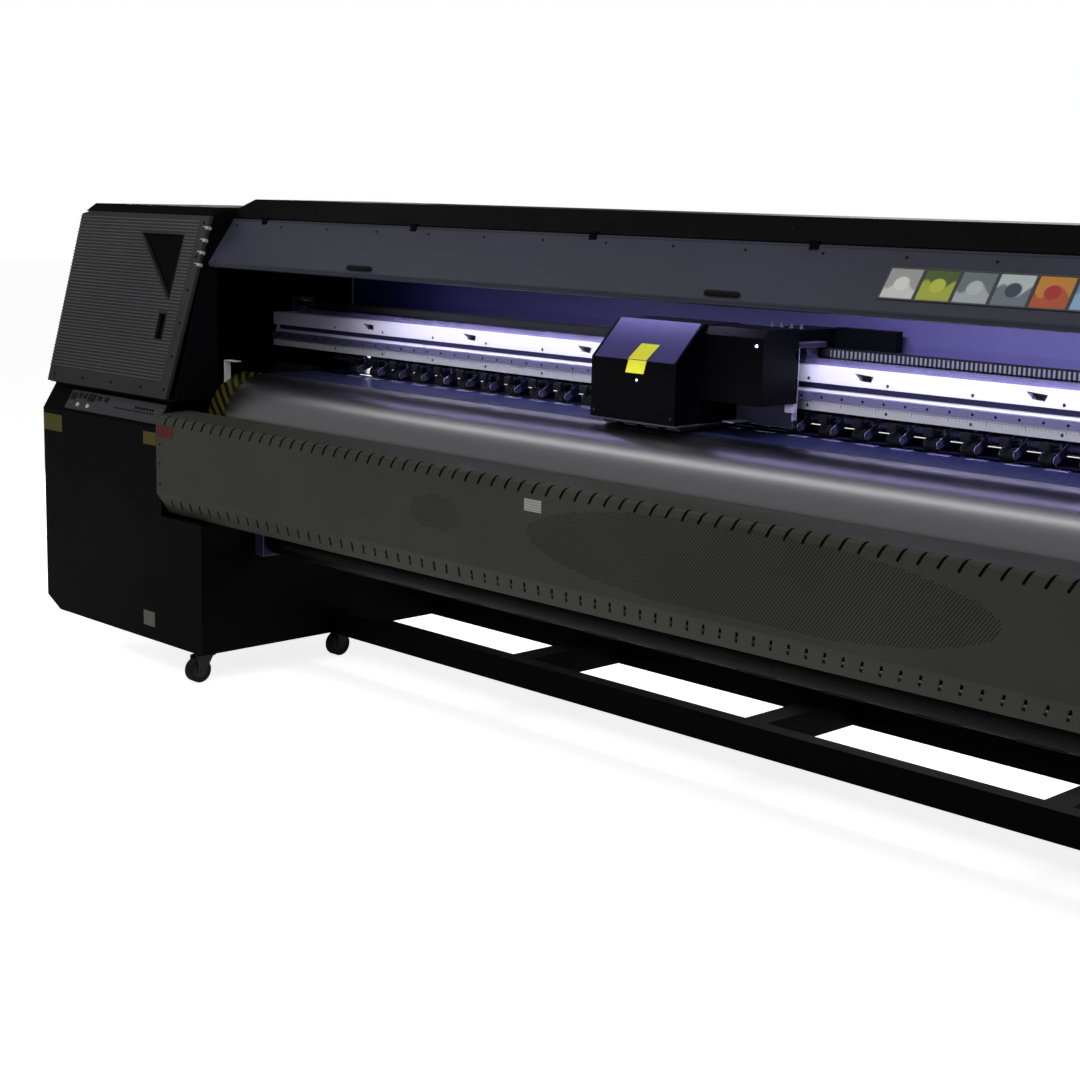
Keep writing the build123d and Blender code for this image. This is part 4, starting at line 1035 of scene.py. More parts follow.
print("fascia leans", round(math.degrees(math.atan2(HOOD_NORMAL.z, -HOOD_NORMAL.y)), 1), "degrees")

# %% Fascia details
bm = bmesh.new()
BEZEL, BEZEL_WIDE, TILE_GAP, TILE_HALF_TALL, TILE_MIDDLE = 0.0035, 0.004, 0.0004, 0.037, 0.47
half, tall = TILE_WIDTH / 2 + TILE_GAP, TILE_HALF_TALL + TILE_GAP
for i in range(TILES):
    place = aim(RIGHT, HOOD_NORMAL, on_hood(tiles_low.x + TILE_WIDTH / 2 + i * TILE_PITCH, TILE_MIDDLE))
    for sign in (-1, 1):
        low, high = sorted((sign * half, sign * (half + BEZEL_WIDE)))
        add_box(bm, (low, -tall - BEZEL_WIDE, 0), (high, tall + BEZEL_WIDE, BEZEL), place)
        low, high = sorted((sign * tall, sign * (tall + BEZEL_WIDE)))
        add_box(bm, (-half, low, 0), (half, high, BEZEL), place)
show("tile_frames", to_mesh(bm, "tile_frames", 0.0006, 1), "strip_silver", "hood")

HOOD_END = hood_high.x - 0.004
hem = [(x, hood_low.y + 0.003, HOOD_EDGE.z - 0.004) for x in (-HOOD_END, HOOD_END)]
bars("hood_hem", [hem], 0.0028, "fascia_grey", "hood")

bm = bmesh.new()
GRIP = [(-0.055, 0.0), (-0.047, 0.011), (0.047, 0.011), (0.055, 0.0)]
for x in (-1.15, 0.15):
    add_outline(bm, GRIP, -0.006, 0.006, aim(RIGHT, -UPHILL, on_hood(x, 0.12)))
show("hood_grips", to_mesh(bm, "hood_grips", 0.003, 3), "seal_rubber", "hood")

fascia_place = aim(RIGHT, HOOD_NORMAL)
in_rows("hood_screws", screw(0.0035, 0.0018), "dark_screw", "hood", [
    grid(on_hood(-HOOD_END + 0.03, 0.88), (0.22, 0, 0), 17, fascia_place),
    grid(on_hood(-HOOD_END + 0.03, 0.06), (2 * HOOD_END - 0.06, 0, 0), 2, fascia_place)])

# %% [markdown]
# ## Roof and back sheet
# The roof's sloped front flange and the back sheet are screwed on at an even pitch. The back sheet also
# carries rows of cooling slots near its top. A slot is a thin dark lozenge with rounded ends, flush with the
# sheet, painted shade for the open slot.


# %% Slots and cover screws
def lozenge(length, wide, depth=0.0004, steps=5):
    """A thin plate on Z 0 with round ends, along X."""
    bm = bmesh.new()
    run = length / 2 - wide / 2
    ends = [(run, -90), (-run, 90)]
    outline = []
    for x, begin in ends:
        for i in range(steps + 1):
            a = math.radians(begin + 180 * i / steps)
            outline.append((x + wide / 2 * math.cos(a), wide / 2 * math.sin(a)))
    add_outline(bm, outline, 0.0, depth)
    return to_mesh(bm, "lozenge")


back_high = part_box("back_cover")[1]
COVER_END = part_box("top_cover")[1].x
FLANGE_FOOT, FLANGE_TOP = Vector((0, -0.242, 1.398)), Vector((0, -0.209, 1.455))
flange_normal = Vector((0, FLANGE_FOOT.z - FLANGE_TOP.z, FLANGE_TOP.y - FLANGE_FOOT.y)).normalized()
flange_middle = Vector((-COVER_END + 0.09, 0, 0)) + (FLANGE_FOOT + FLANGE_TOP) / 2
back_place = aim(RIGHT, BACK)
in_rows("cover_screws", screw(), "dark_screw", "machine", [
    grid(flange_middle, (0.2915, 0, 0), 13, aim(RIGHT, flange_normal)),
    grid((-COVER_END + 0.05, back_high.y, 1.02), (0.2355, 0, 0), 16, back_place, (0, 0, 0.35), 2)])
# The dark lozenges are painted shade for the open slots.
in_rows("back_slots", lozenge(0.060, 0.006), "slit_shadow", "machine", [
    grid((x, back_high.y, 1.27), (0.075, 0, 0), 5, back_place, (0, 0, 0.016), 5)
    for x in (-1.55, -0.75, 0.45, 1.25)])

# %% [markdown]
# ## The gantry beam
# Along the beam's face run a ruler, the screws of the front rail and the screws of the top rail. Ticks are
# ten millimetres apart, and every tenth is long. They are thin plates on the lower strip, not paint.

# %% Beam details
beam_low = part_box("gantry_beam")[0]
RULE_Z, RULE_STEP = beam_low.z + 0.016, 0.010
rule_start = Vector((-1.76, beam_low.y, RULE_Z))
rule_place = aim(UP, FRONT)
in_rows("ruler_ticks", lozenge(0.004, 0.0007, 0.0003, 1), "slit_shadow", "machine", [
    grid(rule_start, (RULE_STEP, 0, 0), 353, rule_place)])
in_rows("ruler_marks", lozenge(0.009, 0.0011, 0.0003, 1), "slit_shadow", "machine", [
    grid(rule_start, (10 * RULE_STEP, 0, 0), 36, rule_place)])
rails_low, rails_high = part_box("linear_rails")
front_place = aim(RIGHT, FRONT)
# The carriage's blocks run 0.2 mm clear of the rails, so these heads stand less than that.
in_rows("rail_screws", screw(0.0036, 0.00012, 10), "dark_screw", "machine", [
    grid((beam_low.x + 0.05, rails_low.y, 1.026), (0.060, 0, 0), 73, front_place),
    grid((-1.90, 0.070, rails_high.z), (0.060, 0, 0), 71, aim(RIGHT, UP))])
in_rows("beam_screws", screw(0.004, 0.0014), "screw_steel", "machine", [
    grid((-1.70, beam_low.y, 1.068), (0.230, 0, 0), 15, front_place),
    grid((-1.70, beam_low.y, 1.002), (0.230, 0, 0), 15, front_place)])

# %% [markdown]
# ## The cable chain
# Cables reach the carriage through a chain of plastic links that lies in a tray behind the beam and doubles
# back on itself. One link is two side plates and two cross bars. The path tree lays the links along the low
# run, round the loop and back along the upper run. The links stand for the plain CAD solid.


# %% Cable chain
def chain_link(pitch, wide, tall):
    bm = bmesh.new()
    for side in (-1, 1):
        near, far = sorted((side * wide / 2, side * (wide / 2 - 0.0035)))
        add_box(bm, (-pitch * 0.5, near, -tall / 2), (pitch * 0.42, far, tall / 2))
    for top in (-1, 1):
        low, high = sorted((top * tall / 2, top * (tall / 2 - 0.0025)))
        add_box(bm, (-pitch * 0.28, -wide / 2 + 0.002, low), (pitch * 0.10, wide / 2 - 0.002, high))
    return to_mesh(bm, "chain_link", 0.0008, 1)


chain_low, chain_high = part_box("cable_chain")
CHAIN_TALL, LINK_PITCH, LOOP_STEPS = 0.021, 0.025, 16
UPPER_START, LOWER_START = 0.281, chain_low.x
middle_y = (chain_low.y + chain_high.y) / 2
low_z, high_z = chain_low.z + CHAIN_TALL / 2, chain_high.z - CHAIN_TALL / 2
loop_x = chain_high.x - (chain_high.z - chain_low.z) / 2
route = [(LOWER_START + LINK_PITCH / 2, middle_y, low_z)]
for i in range(LOOP_STEPS + 1):
    a = math.radians(-90 + 180 * i / LOOP_STEPS)
    reach = (high_z - low_z) / 2
    route.append((loop_x + reach * math.cos(a), middle_y, (low_z + high_z) / 2 + reach * math.sin(a)))
route.append((UPPER_START + LINK_PITCH / 2, middle_y, high_z))
path = bpy.data.meshes.new("chain_path")
path.from_pydata(route, [(i, i + 1) for i in range(len(route) - 1)], [])
link = bpy.data.objects.new("link", chain_link(LINK_PITCH, chain_high.y - chain_low.y, CHAIN_TALL))
links = grow(path_tree, path, Shape=link, Pitch=LINK_PITCH, Finish=finish_of["chain_nylon"])
bpy.data.objects.remove(link)
chain = show("cable_chain_links", links, "chain_nylon", "machine")
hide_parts("cable_chain")

# %% [markdown]
# ## Belt teeth
# The drive belt is toothed on its inner side. Small trapezoid teeth line both straight runs, where they
# are seen from behind the beam. The carriage's clamp leaves half a millimetre there, so they are low.

# %% Belt teeth
belt_low, belt_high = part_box("drive_belt")
bm = bmesh.new()
TOOTH_HIGH = 0.0004
add_outline(bm, [(-0.0022, 0), (0.0022, 0), (0.0012, TOOTH_HIGH), (-0.0012, TOOTH_HIGH)], -0.008, 0.008)
tooth = to_mesh(bm, "tooth")
BELT_GAUGE, TOOTH_PITCH = 0.003, 0.008
span = belt_high.x - belt_low.x - 0.16
teeth = int(span / TOOTH_PITCH)
middle_z = (belt_low.z + belt_high.z) / 2
in_rows("belt_teeth", tooth, "belt_rubber", "machine", [
    grid((belt_low.x + 0.08, y, middle_z), (TOOTH_PITCH, 0, 0), teeth, Matrix.Rotation(turn, 4, "Z"))
    for y, turn in ((belt_low.y + BELT_GAUGE, 0.0), (belt_high.y - BELT_GAUGE, math.pi))])

# %% [markdown]
# ## Pinch units
# Each pinch unit has a black spring cap in front of its roller, on a strap from the arm behind. When the
# lever lifts the arms the caps go up in front of the beam, so they ride on the arms and stay narrow.


# %% Spring caps
def spring_cap():
    """A rounded cap in front of the roller and the strap that carries it, round X 0."""
    bm = bmesh.new()
    hood = [(0.000, 0.964), (0.000, 0.978), (0.004, 0.985), (0.011, 0.985), (0.0135, 0.980), (0.0135, 0.964)]
    add_outline(bm, hood, -0.0135, 0.0135, aim(BACK, RIGHT))
    add_box(bm, (-0.010, 0.012, 0.9705), (0.010, 0.050, 0.9735))
    return to_mesh(bm, "spring_cap", 0.0016, 2)


PINCH_PITCH, PINCH_COUNT = 0.1, 33
PINCH_START = -PINCH_PITCH * (PINCH_COUNT - 1) / 2
in_rows("spring_caps", spring_cap(), "spring_cap", "pinch_arms", [
    grid((PINCH_START, 0, 0), (PINCH_PITCH, 0, 0), PINCH_COUNT)])

# %% [markdown]
# ## The platen and its vacuum holes
# Small holes in the platen hold the media down. They are drawn as dark discs a hair above the sheet, in
# staggered rows, which costs ten faces a hole instead of a cut through the metal. The dark discs are painted
# shade for the open holes.

# %% Vacuum holes
platen_low, platen_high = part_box("platen")
bm = bmesh.new()
add_disc(bm, 0.0018, 0.0, 0.0002, 8)
# The dark discs are painted shade for the holes.
in_rows("vacuum_holes", to_mesh(bm, "hole"), "slit_shadow", "machine", [
    grid((platen_low.x + 0.03, platen_low.y + 0.02, platen_high.z), (0.024, 0, 0), 146,
         row_step=(0, 0.028, 0), rows=6, Shift=0.5)])

# %% [markdown]
# ## Grit bands on the feed roller
# The feed roller is smooth except under each pinch roller, where a band of grit grips the media. A band is a
# short drum a hair wider than the roller, and it turns with it.

# %% Grit bands
feed_low, feed_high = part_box("feed_roller")
FEED_AXIS = ((feed_low.y + feed_high.y) / 2, (feed_low.z + feed_high.z) / 2)
FEED_RADIUS = (feed_high.z - feed_low.z) / 2
bm = bmesh.new()
add_disc(bm, FEED_RADIUS + 0.00015, -0.016, 0.016, 40)
in_rows("grit_bands", to_mesh(bm, "band"), "heater_steel", "feed_roller", [
    grid((PINCH_START, *FEED_AXIS), (PINCH_PITCH, 0, 0), PINCH_COUNT, aim(UP, RIGHT))])

# %% [markdown]
# ## The dryer cover
# Warm air leaves the dryer through its nose and through a field of fine slanted slits in its face. The slits
# fill a long oval on the right and a small one on the left, so the grid tree's zone limits them. Each slit is
# a thin dim plate on the face, painted shade for the open slit.

# %% Dryer slits
dryer_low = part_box("dryer_cover")[0]
SLIT_SLANT = math.radians(38)
slit = lozenge(0.0080, 0.0015, 0.0002, 2)
slit_place = front_place @ Matrix.Rotation(SLIT_SLANT, 4, "Z")
# Each slit's dim plate is painted shade for the opening.
in_rows("dryer_slits", slit, "slit_dim", "machine", [
    grid((-0.32, dryer_low.y, 0.590), (0.0088, 0, 0), 158, slit_place, (0, 0, 0.0058), 35, Shift=0.5,
         Zone_Centre=(0.37, dryer_low.y, 0.685), Zone_Reach=(0.66, 1.0, 0.105)),
    grid((-0.72, dryer_low.y, 0.640), (0.0105, 0, 0), 20, slit_place, (0, 0, 0.0068), 14, Shift=0.5,
         Zone_Centre=(-0.63, dryer_low.y, 0.685), Zone_Reach=(0.10, 1.0, 0.045))])
in_rows("dryer_screws", screw(0.0038, 0.0018), "dark_screw", "machine", [
    grid((x, dryer_low.y, 0.600), (0, 0, 0.06), 3, front_place) for x in (-1.885, 1.885)])

# %% [markdown]
# ## The carriage's small parts
# On the black carriage only small things catch the eye: a yellow notice folded over the lower edge of the
# visor, an indicator on the front, a white lamp at the right end, bright brackets behind it and ink nipples
# on the bridge. All of them ride on the carriage.

# %% Carriage finishes
finish_of["notice_yellow"] = painted("notice_yellow", (0.88, 0.88, 0.05), 0.4, peel=300, dusty=0.0, wear=0.0)
finish_of["lamp_white"] = painted("lamp_white", (0.8, 0.8, 0.82), 0.3, dusty=0.0,
                                  Emission_Color=(0.9, 0.9, 1, 1), Emission_Strength=1.2)
finish_of["lit_bracket"] = bare("lit_bracket", (0.55, 0.54, 0.75), 0.4, stretch=(60, 60, 60), metal=0.4,
                                contrast=0.2)
print("carriage finishes ready")

# %% Carriage pieces
body_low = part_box("carriage_body")[0]
visor_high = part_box("carriage_visor")[1]
BROW_Y, BROW_Z = body_low.y, 1.098
SLOPE = Vector((0, visor_high.y - BROW_Y, 1.190 - BROW_Z)).normalized()
VISOR_NORMAL = Vector((0, -SLOPE.z, SLOPE.y))

bm = bmesh.new()
NOTICE_X, NOTICE_WIDE, NOTICE_UP, NOTICE_DOWN, NOTICE_SKEW = -0.200, 0.060, 0.052, 0.034, 0.010
brow = Vector((NOTICE_X, BROW_Y, BROW_Z)) + 0.0033 * VISOR_NORMAL
upper = [(0, 0), (NOTICE_WIDE, 0), (NOTICE_WIDE + NOTICE_SKEW, NOTICE_UP), (NOTICE_SKEW, NOTICE_UP)]
add_outline(bm, upper, 0.0, 0.0004, aim(RIGHT, VISOR_NORMAL, brow))
lower = [(0, 0), (-NOTICE_SKEW, -NOTICE_DOWN), (NOTICE_WIDE - NOTICE_SKEW, -NOTICE_DOWN), (NOTICE_WIDE, 0)]
add_outline(bm, lower, 0.0, 0.0004, aim(RIGHT, FRONT, (NOTICE_X, BROW_Y - 0.0002, BROW_Z + 0.002)))
show("carriage_notice", to_mesh(bm, "carriage_notice"), "notice_yellow", "carriage")

bm = bmesh.new()
add_disc(bm, 0.0035, 0, 0.0012, 20, aim(RIGHT, FRONT, (-0.172, BROW_Y, 1.050)), 0.0026)
add_disc(bm, 0.0040, 0, 0.004, 20, aim(RIGHT, FRONT, (0.120, -0.160, 1.150)), 0.0030)
show("carriage_lamps", to_mesh(bm, "carriage_lamps"), "lamp_white", "carriage")

bm = bmesh.new()
for z in (0.985, 1.050, 1.112):
    add_box(bm, (0.112, -0.034, z), (0.140, -0.0235, z + 0.022))
add_box(bm, (0.131, -0.030, 0.965), (0.1345, -0.012, 1.138))
add_box(bm, (-0.036, -0.090, 0.9495), (0.000, -0.024, 0.953))
show("carriage_brackets", to_mesh(bm, "carriage_brackets", 0.001), "lit_bracket", "carriage")

in_rows("carriage_screws", screw(0.0032, 0.0016), "screw_steel", "carriage", [
    grid((body_low.x + 0.012, body_low.y, 0.965), (0.2545, 0, 0), 2, front_place),
    grid((body_low.x, -0.23, 0.97), (0, 0.09, 0), 3, aim(BACK, LEFT)),
    grid((0.0, 0.02, 1.180), (0.07, 0, 0), 2, aim(RIGHT, UP), (0, 0.13, 0), 2)])

bm = bmesh.new()
for i in range(4):
    base = (-0.010 + 0.030 * i, 0.060, 1.180)
    add_disc(bm, 0.0070, 0.0, 0.004, 6, Matrix.Translation(base))
    add_disc(bm, 0.0042, 0.004, 0.012, 14, Matrix.Translation(base), 0.0034)
show("ink_nipples", to_mesh(bm, "ink_nipples", 0.0005, 1), "head_module", "carriage")

# %% [markdown]
# ## Finger guard at the end of the guide
# A white sheet bracket stands in front of each striped cap, just clear of the carriage's path, and keeps
# fingers out. It is an angle: one upright leg and one short top flange.

# %% Finger guards
bm = bmesh.new()
for side in (-1, 1):
    near, far = sorted((side * 1.792, side * 1.852))
    edge_near, edge_far = sorted((side * 1.849, side * 1.852))
    add_box(bm, (near, -0.292, 0.966), (far, -0.268, 0.9685))
    add_box(bm, (edge_near, -0.292, 0.8985), (edge_far, -0.268, 0.967))
show("finger_guards", to_mesh(bm, "finger_guards", 0.0008), "button_white", "machine")

# %% [markdown]
# ## The control strip
# The strip is silver sheet with keys and a small display. The real one is printed with words. Here plain
# key caps and thin rules stand for them, in a row up the slope of the strip.

# %% Control strip parts
strip_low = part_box("control_strip")[0]
SLOPE_LOW, SLOPE_HIGH = Vector((0, -0.488, 0.763)), Vector((0, -0.440, 0.840))
STRIP_UP = (SLOPE_HIGH - SLOPE_LOW).normalized()
STRIP_NORMAL = Vector((0, -STRIP_UP.z, STRIP_UP.y))
STRIP_FACE = 0.006
KEYS = [(-2.442, 0.055, 0.030, 0.024), (-2.405, 0.060, 0.018, 0.018), (-2.376, 0.060, 0.018, 0.018),
        (-2.336, 0.058, 0.040, 0.026), (-2.290, 0.060, 0.022, 0.016), (-2.250, 0.060, 0.022, 0.016)]


def on_strip(x, up):
    """A placing matrix on the strip's face, at X and a distance up its slope."""
    return aim(RIGHT, STRIP_NORMAL, Vector((x, 0, 0)) + SLOPE_LOW + up * STRIP_UP + STRIP_FACE * STRIP_NORMAL)


bm = bmesh.new()
for x, up, wide, tall in KEYS:
    add_box(bm, (-wide / 2, -tall / 2, 0), (wide / 2, tall / 2, 0.0022), on_strip(x, up))
show("strip_keys", to_mesh(bm, "strip_keys", 0.0009), "spring_cap", "machine")

bm = bmesh.new()
add_box(bm, (-0.115, -0.0012, 0), (0.115, 0.0012, 0.0005), on_strip(-2.08, 0.040))
for i in range(7):
    add_box(bm, (-0.005, -0.004, 0), (0.005, 0.004, 0.0005), on_strip(-2.075 + 0.016 * i, 0.052))
show("strip_rules", to_mesh(bm, "strip_rules"), "slit_shadow", "machine")
in_rows("strip_screws", screw(0.003, 0.0012), "screw_steel", "machine", [
    grid(on_strip(strip_low.x + 0.010, 0.020).translation, (0.520, 0, 0), 2,
         on_strip(0, 0).to_3x3().to_4x4(), tuple(0.048 * STRIP_UP), 2)])

# %% [markdown]
# ## Service doors, panels and their locks
# The outer face of each leg is a door. Flush hinge leaves on its rear edge, two quarter-turn locks and the
# frame of a recessed pull say so. Screws hold the door's rim and the back sheet of each leg.

# %% Door furniture
DOOR_FACE, DOOR_SKIN, LOCK_Y = 2.6, 2.596, -0.345
bm = bmesh.new()
for side in (-1, 1):
    for z in (0.27, 0.62):
        lock = outward(side, (side * (DOOR_FACE - 0.0018), LOCK_Y, z))
        add_disc(bm, 0.013, 0, 0.0018, 28, lock)
        leaf = outward(side, (side * DOOR_SKIN, 0.418, z))
        add_box(bm, (-0.016, -0.035, 0), (0.016, 0.035, 0.0026), leaf)
show("door_locks", to_mesh(bm, "door_locks", 0.0006), "screw_steel", "machine")

bm = bmesh.new()
for side in (-1, 1):
    pull = outward(side, (side * (DOOR_FACE - 0.0004), LOCK_Y, 0.445))
    for sign in (-1, 1):
        add_box(bm, (-0.020, sign * 0.052 - 0.003, 0), (0.020, sign * 0.052 + 0.003, 0.0004), pull)
        add_box(bm, (sign * 0.018 - 0.003, -0.050, 0), (sign * 0.018 + 0.003, 0.050, 0.0004), pull)
show("door_pulls", to_mesh(bm, "door_pulls"), "strip_silver", "machine")

leg_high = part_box("right_leg_cabinet")[1]
rows = [grid((side * 1.93, leg_high.y - 0.0015, 0.14), (side * 0.205, 0, 0), 4, back_place,
             (0, 0, 0.29), 3) for side in (-1, 1)]
for first, apart, height in ((-0.22, 0.14, 0.875), (-0.44, 0.30, 0.15)):
    rows += [grid((side * DOOR_SKIN, first, height), (0, apart, 0), 4, outward(side))
             for side in (-1, 1)]
in_rows("cabinet_screws", screw(0.004, 0.0015), "dark_screw", "machine", rows)

# %% [markdown]
# ## Power inlet and cable glands
# At the back of the right leg the mains socket, its switch and a row of cable glands come out. Mains leads
# plug in here on site, and none is part of the machine.

# %% Inlet and glands
bm = bmesh.new()
inlet = aim(LEFT, BACK, (2.47, 0.5035, 0.190))
add_box(bm, (-0.045, -0.028, -0.004), (0.045, 0.028, 0.0012), inlet)
for x in (-0.022, 0.022):
    add_box(bm, (x - 0.014, -0.018, 0.0012), (x + 0.014, 0.018, 0.0018), inlet)
show("power_inlet", to_mesh(bm, "power_inlet", 0.0005), "spring_cap", "machine")
bm = bmesh.new()
for i in range(4):
    gland = aim(RIGHT, BACK, (2.02 + 0.05 * i, back_high.y + 0.010, 1.330))
    add_disc(bm, 0.014, -0.004, 0.004, 6, gland @ Matrix.Translation((0, 0, -0.006)))
    add_disc(bm, 0.011, -0.002, 0.010, 20, gland, 0.008)
show("cable_glands", to_mesh(bm, "cable_glands", 0.0008), "spring_cap", "machine")

# %% [markdown]
# ## Seal behind the fascia's hinge
# A rubber flap closes the slit between the roof and the hinged fascia, so that no violet light leaks out.

# %% Hinge seal
bm = bmesh.new()
add_box(bm, (-COVER_END + 0.006, -0.2385, 1.3845), (COVER_END - 0.006, -0.2370, 1.4040))
show("hinge_seal", to_mesh(bm, "hinge_seal", 0.0005, 1), "seal_rubber", "machine")

# %% [markdown]
# ## Diodes of the lamp strip
# Under the diffuser each diode shows as a small lens. They repeat at a third of a decimetre, so the grid
# tree sets them.

# %% Diodes
lamp_low, lamp_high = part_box("led_strip")
bm = bmesh.new()
add_disc(bm, 0.0035, 0.0, 0.0012, 10, top_radius=0.0022)
in_rows("lamp_diodes", to_mesh(bm, "diode"), "led_violet", "machine", [
    grid((lamp_low.x + 0.02, (lamp_low.y + lamp_high.y) / 2, lamp_low.z), (0.0333, 0, 0), 105,
         aim(RIGHT, (0, 0, -1)))])

# %% [markdown]
# ## Media shafts
# Each media shaft is an air shaft: long rubber-tipped lugs in rows along it swell out and grip the core.
# They turn with the shaft, and here they lie let down, a hair above the tube.

# %% Shaft lugs
for shaft in ("take_up_shaft", "unwind_shaft"):
    low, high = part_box(shaft)
    axis_y, axis_z, radius = (low.y + high.y) / 2, (low.z + high.z) / 2, (high.z - low.z) / 2
    rows = []
    for i in range(6):
        a = math.radians(60 * i)
        out = Vector((0, math.cos(a), math.sin(a)))
        spot = Vector((-1.5, axis_y, axis_z)) + (radius - 0.0006) * out
        rows.append(grid(spot, (0.25, 0, 0), 13, aim(RIGHT, out)))
    in_rows(shaft + "_lugs", lozenge(0.12, 0.010, 0.0016), "seal_rubber", shaft, rows)

# %% [markdown]
# ## Feet and casters
# A levelling foot is locked by a nut under the cabinet and turned by a nut at its pad. Each caster wheel gets
# a stepped hub cap on both sides, open in the middle so that the axle passes through it.


# %% Hub ring
def hub_ring(bm, radius, bore, place, sides=28):
    """A stepped hub cap round an open bore, turned about its own Z, so that the axle passes through it."""
    profile = [(bore, -0.0002), (radius * 0.62, -0.0002), (radius * 0.56, 0.0010), (radius * 0.26, 0.0010),
               (radius * 0.26, 0.0016), (bore, 0.0016)]
    add_turned(bm, profile, sides, place, closed=True)


print("hub ring ready")

# %% Nuts and hubs
AXLE_RADIUS, AXLE_FIT = 0.005, 0.0003
bm = bmesh.new()
for side in (-1, 1):
    for y in (-0.230, 0.350):
        spot = Matrix.Translation((side * 2.515, y, 0))
        add_disc(bm, 0.0150, 0.0142, 0.0260, 6, spot)
        add_disc(bm, 0.0150, 0.0680, 0.0800, 6, spot @ Matrix.Rotation(0.4, 4, "Z"))
        add_disc(bm, 0.0120, 0.0800, 0.0808, 24, spot)
show("foot_nuts", to_mesh(bm, "foot_nuts", 0.0008), "screw_steel", "machine")

for i in range(1, 5):
    wheel_low, wheel_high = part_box(f"caster_wheel_{i}")
    centre = (wheel_low + wheel_high) / 2
    wheel_radius = (wheel_high.z - wheel_low.z) / 2
    half = (wheel_high.x - wheel_low.x) / 2
    bm = bmesh.new()
    for side in (-1, 1):
        hub = aim(UP, (side, 0, 0), centre + Vector((side * half, 0, 0)))
        hub_ring(bm, wheel_radius, AXLE_RADIUS + AXLE_FIT, hub)
    show(f"wheel_hubs_{i}", to_mesh(bm, "hubs"), "caster_steel", f"caster_wheel_{i}")
print("casters done")

# %% [markdown]
# ## Drive motor fins
# Nine cooling fins ring the drive motor that stands on the beam's right end.

# %% Motor fins
bm = bmesh.new()
DRIVE_X, DRIVE_Y, DRIVE_RADIUS = 2.430, 0.130, 0.040
for i in range(9):
    z = 1.152 + 0.0095 * i
    add_disc(bm, DRIVE_RADIUS + 0.003, z, z + 0.003, 32, Matrix.Translation((DRIVE_X, DRIVE_Y, 0)))
show("motor_fins", to_mesh(bm, "motor_fins", 0.0006, 1), "motor_black", "machine")

# %% [markdown]
# ## Entry brush
# A dark brush hangs under the back sheet's lower flange, over the media's way in, and keeps light and dust
# out of the print zone. Its bristles stop just above the rear guide, so the media passes under them, and
# the brush is broken where the side frames stand. Outside the frames there is no guide, so there it hangs
# lower.

# %% Entry brush
BRUSH_Y, BRISTLE_PITCH, BRISTLE_RADIUS = 0.2140, 0.004, 0.0018
HOLDER_FOOT, HOLDER_TOP, HOLDER_HALF, SEATED = 0.984, 0.9995, 0.004, 0.002
BRUSH_RUNS = [(-1.762, 1.762, 0.931), (-1.858, -1.783, 0.905), (1.783, 1.858, 0.905)]
bristles = []
bm = bmesh.new()
for start, end, foot in BRUSH_RUNS:
    for i in range(int((end - start) / BRISTLE_PITCH)):
        x = start + (i + 0.5) * BRISTLE_PITCH
        bristles.append([(x, BRUSH_Y, foot), (x, BRUSH_Y, HOLDER_FOOT + SEATED)])
    add_box(bm, (start, BRUSH_Y - HOLDER_HALF, HOLDER_FOOT), (end, BRUSH_Y + HOLDER_HALF, HOLDER_TOP))
    add_box(bm, (start, BRUSH_Y + 0.0022, foot + 0.003), (end, BRUSH_Y + 0.0030, HOLDER_FOOT))
bars("entry_brush", bristles, BRISTLE_RADIUS, "brush_nylon", "machine", sides=5)
show("brush_holder", to_mesh(bm, "brush_holder"), "brush_nylon", "machine")

# %% [markdown]
# ## Studio
# The floor is plain and pale. The world is bright only where the camera sees it directly, so the backdrop
# stays white while the black machine isn't washed out. A wide soft light hangs over the front, a narrow one
# draws the highlight on the guide, and a thin one fills the face of the beam. Three stand behind the machine
# and light its rear and its ends, and two violet ones under the roof do what the lamp strip does.

# %% Floor, world and lights
FLOOR_UNSEEN, FLOOR_SEEN, SKY_UNSEEN, SKY_SEEN = 0.05, 0.84, 0.16, 1.0
floor = bpy.data.meshes.new("floor")
floor.from_pydata([(-30, -30, 0), (30, -30, 0), (30, 30, 0), (-30, 30, 0)], [], [(0, 1, 2, 3)])
floor_object = bpy.data.objects.new("floor", floor)
bpy.context.scene.collection.objects.link(floor_object)
finish, tree, shader = blank("pale_floor", Specular_IOR_Level=0.1)
patch = noise(tree, place_in(tree), 0.8, 3.0)
wire(tree, shader, Base_Color=between(tree, patch, (0.86, 0.86, 0.86, 1), (0.90, 0.90, 0.90, 1)),
     Emission_Color=between(tree, patch, (0.98, 0.98, 0.98, 1), (1, 1, 1, 1)),
     Emission_Strength=ramp(tree, add(tree, "ShaderNodeLightPath").outputs["Is Camera Ray"], 0.0, 1.0,
                            FLOOR_UNSEEN, FLOOR_SEEN),
     Roughness=ramp(tree, patch, 0.3, 0.7, 0.8, 0.9))
floor.materials.append(finish)

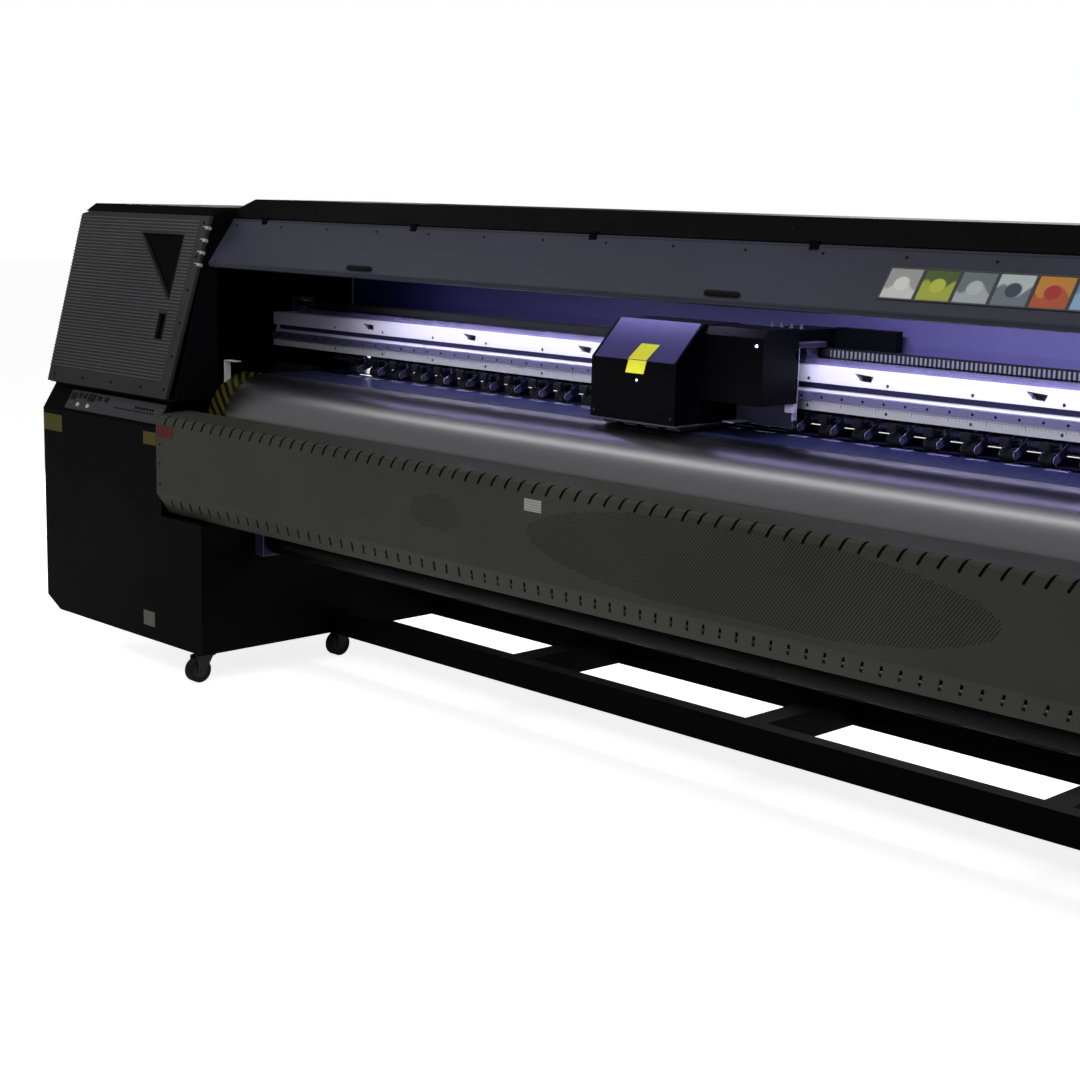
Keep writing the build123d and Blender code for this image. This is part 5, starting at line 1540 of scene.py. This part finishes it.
world = bpy.data.worlds.new("studio")
world.use_nodes = True
bpy.context.scene.world = world
tree = world.node_tree
seen = add(tree, "ShaderNodeLightPath").outputs["Is Camera Ray"]
sky = tree.nodes["Background"]
sky.inputs["Color"].default_value = (1, 1, 1, 1)
tree.links.new(ramp(tree, seen, 0.0, 1.0, SKY_UNSEEN, SKY_SEEN), sky.inputs["Strength"])


def soft_light(name, place, target, size, energy, colour=(1, 1, 1), spread=180):
    light = bpy.data.lights.new(name, "AREA")
    light.spread = math.radians(spread)
    light.shape, light.size, light.size_y = "RECTANGLE", size[0], size[1]
    light.energy, light.color = energy, colour
    lamp = bpy.data.objects.new(name, light)
    lamp.location = place
    lamp.rotation_euler = (Vector(target) - Vector(place)).to_track_quat("-Z", "Y").to_euler()
    bpy.context.scene.collection.objects.link(lamp)
    return lamp


LAMP_Y, LAMP_Z = (lamp_low.y + lamp_high.y) / 2, lamp_low.z - 0.004
key = soft_light("front_softbox", (-0.3, -2.6, 3.0), (-0.3, 0, 0.9), (5.0, 1.4), 34)
key.visible_glossy = False
soft_light("guide_strip", (-0.7, -0.85, 2.3), (-0.7, -0.25, 0.9), (4.6, 0.16), 5)
fill = soft_light("beam_fill", (0.2, -0.62, 1.04), (0.2, 0.02, 0.995), (3.4, 0.03), 1.6,
                  (0.92, 0.92, 1.0), 50)
fill.visible_glossy, fill.visible_camera = False, False
soft_light("back_softbox", (0, 3.0, 2.8), (0, 0, 0.8), (5.0, 1.5), 90)
soft_light("left_softbox", (-5.4, 1.9, 1.1), (-2.6, 0, 0.8), (2.6, 1.4), 110)
soft_light("right_softbox", (5.4, 1.9, 1.1), (2.6, 0, 0.8), (2.2, 1.4), 80)
soft_light("lamp_left", (-0.75, LAMP_Y, LAMP_Z), (-0.75, 0.02, 1.04), (1.4, 0.02), 5, (0.80, 0.78, 1.0), 80)
lamp = soft_light("lamp_right", (0.9, LAMP_Y, LAMP_Z), (0.9, 0.06, 1.05), (1.7, 0.02), 12,
                  (0.76, 0.74, 1.0), 110)
lamp.visible_glossy = False
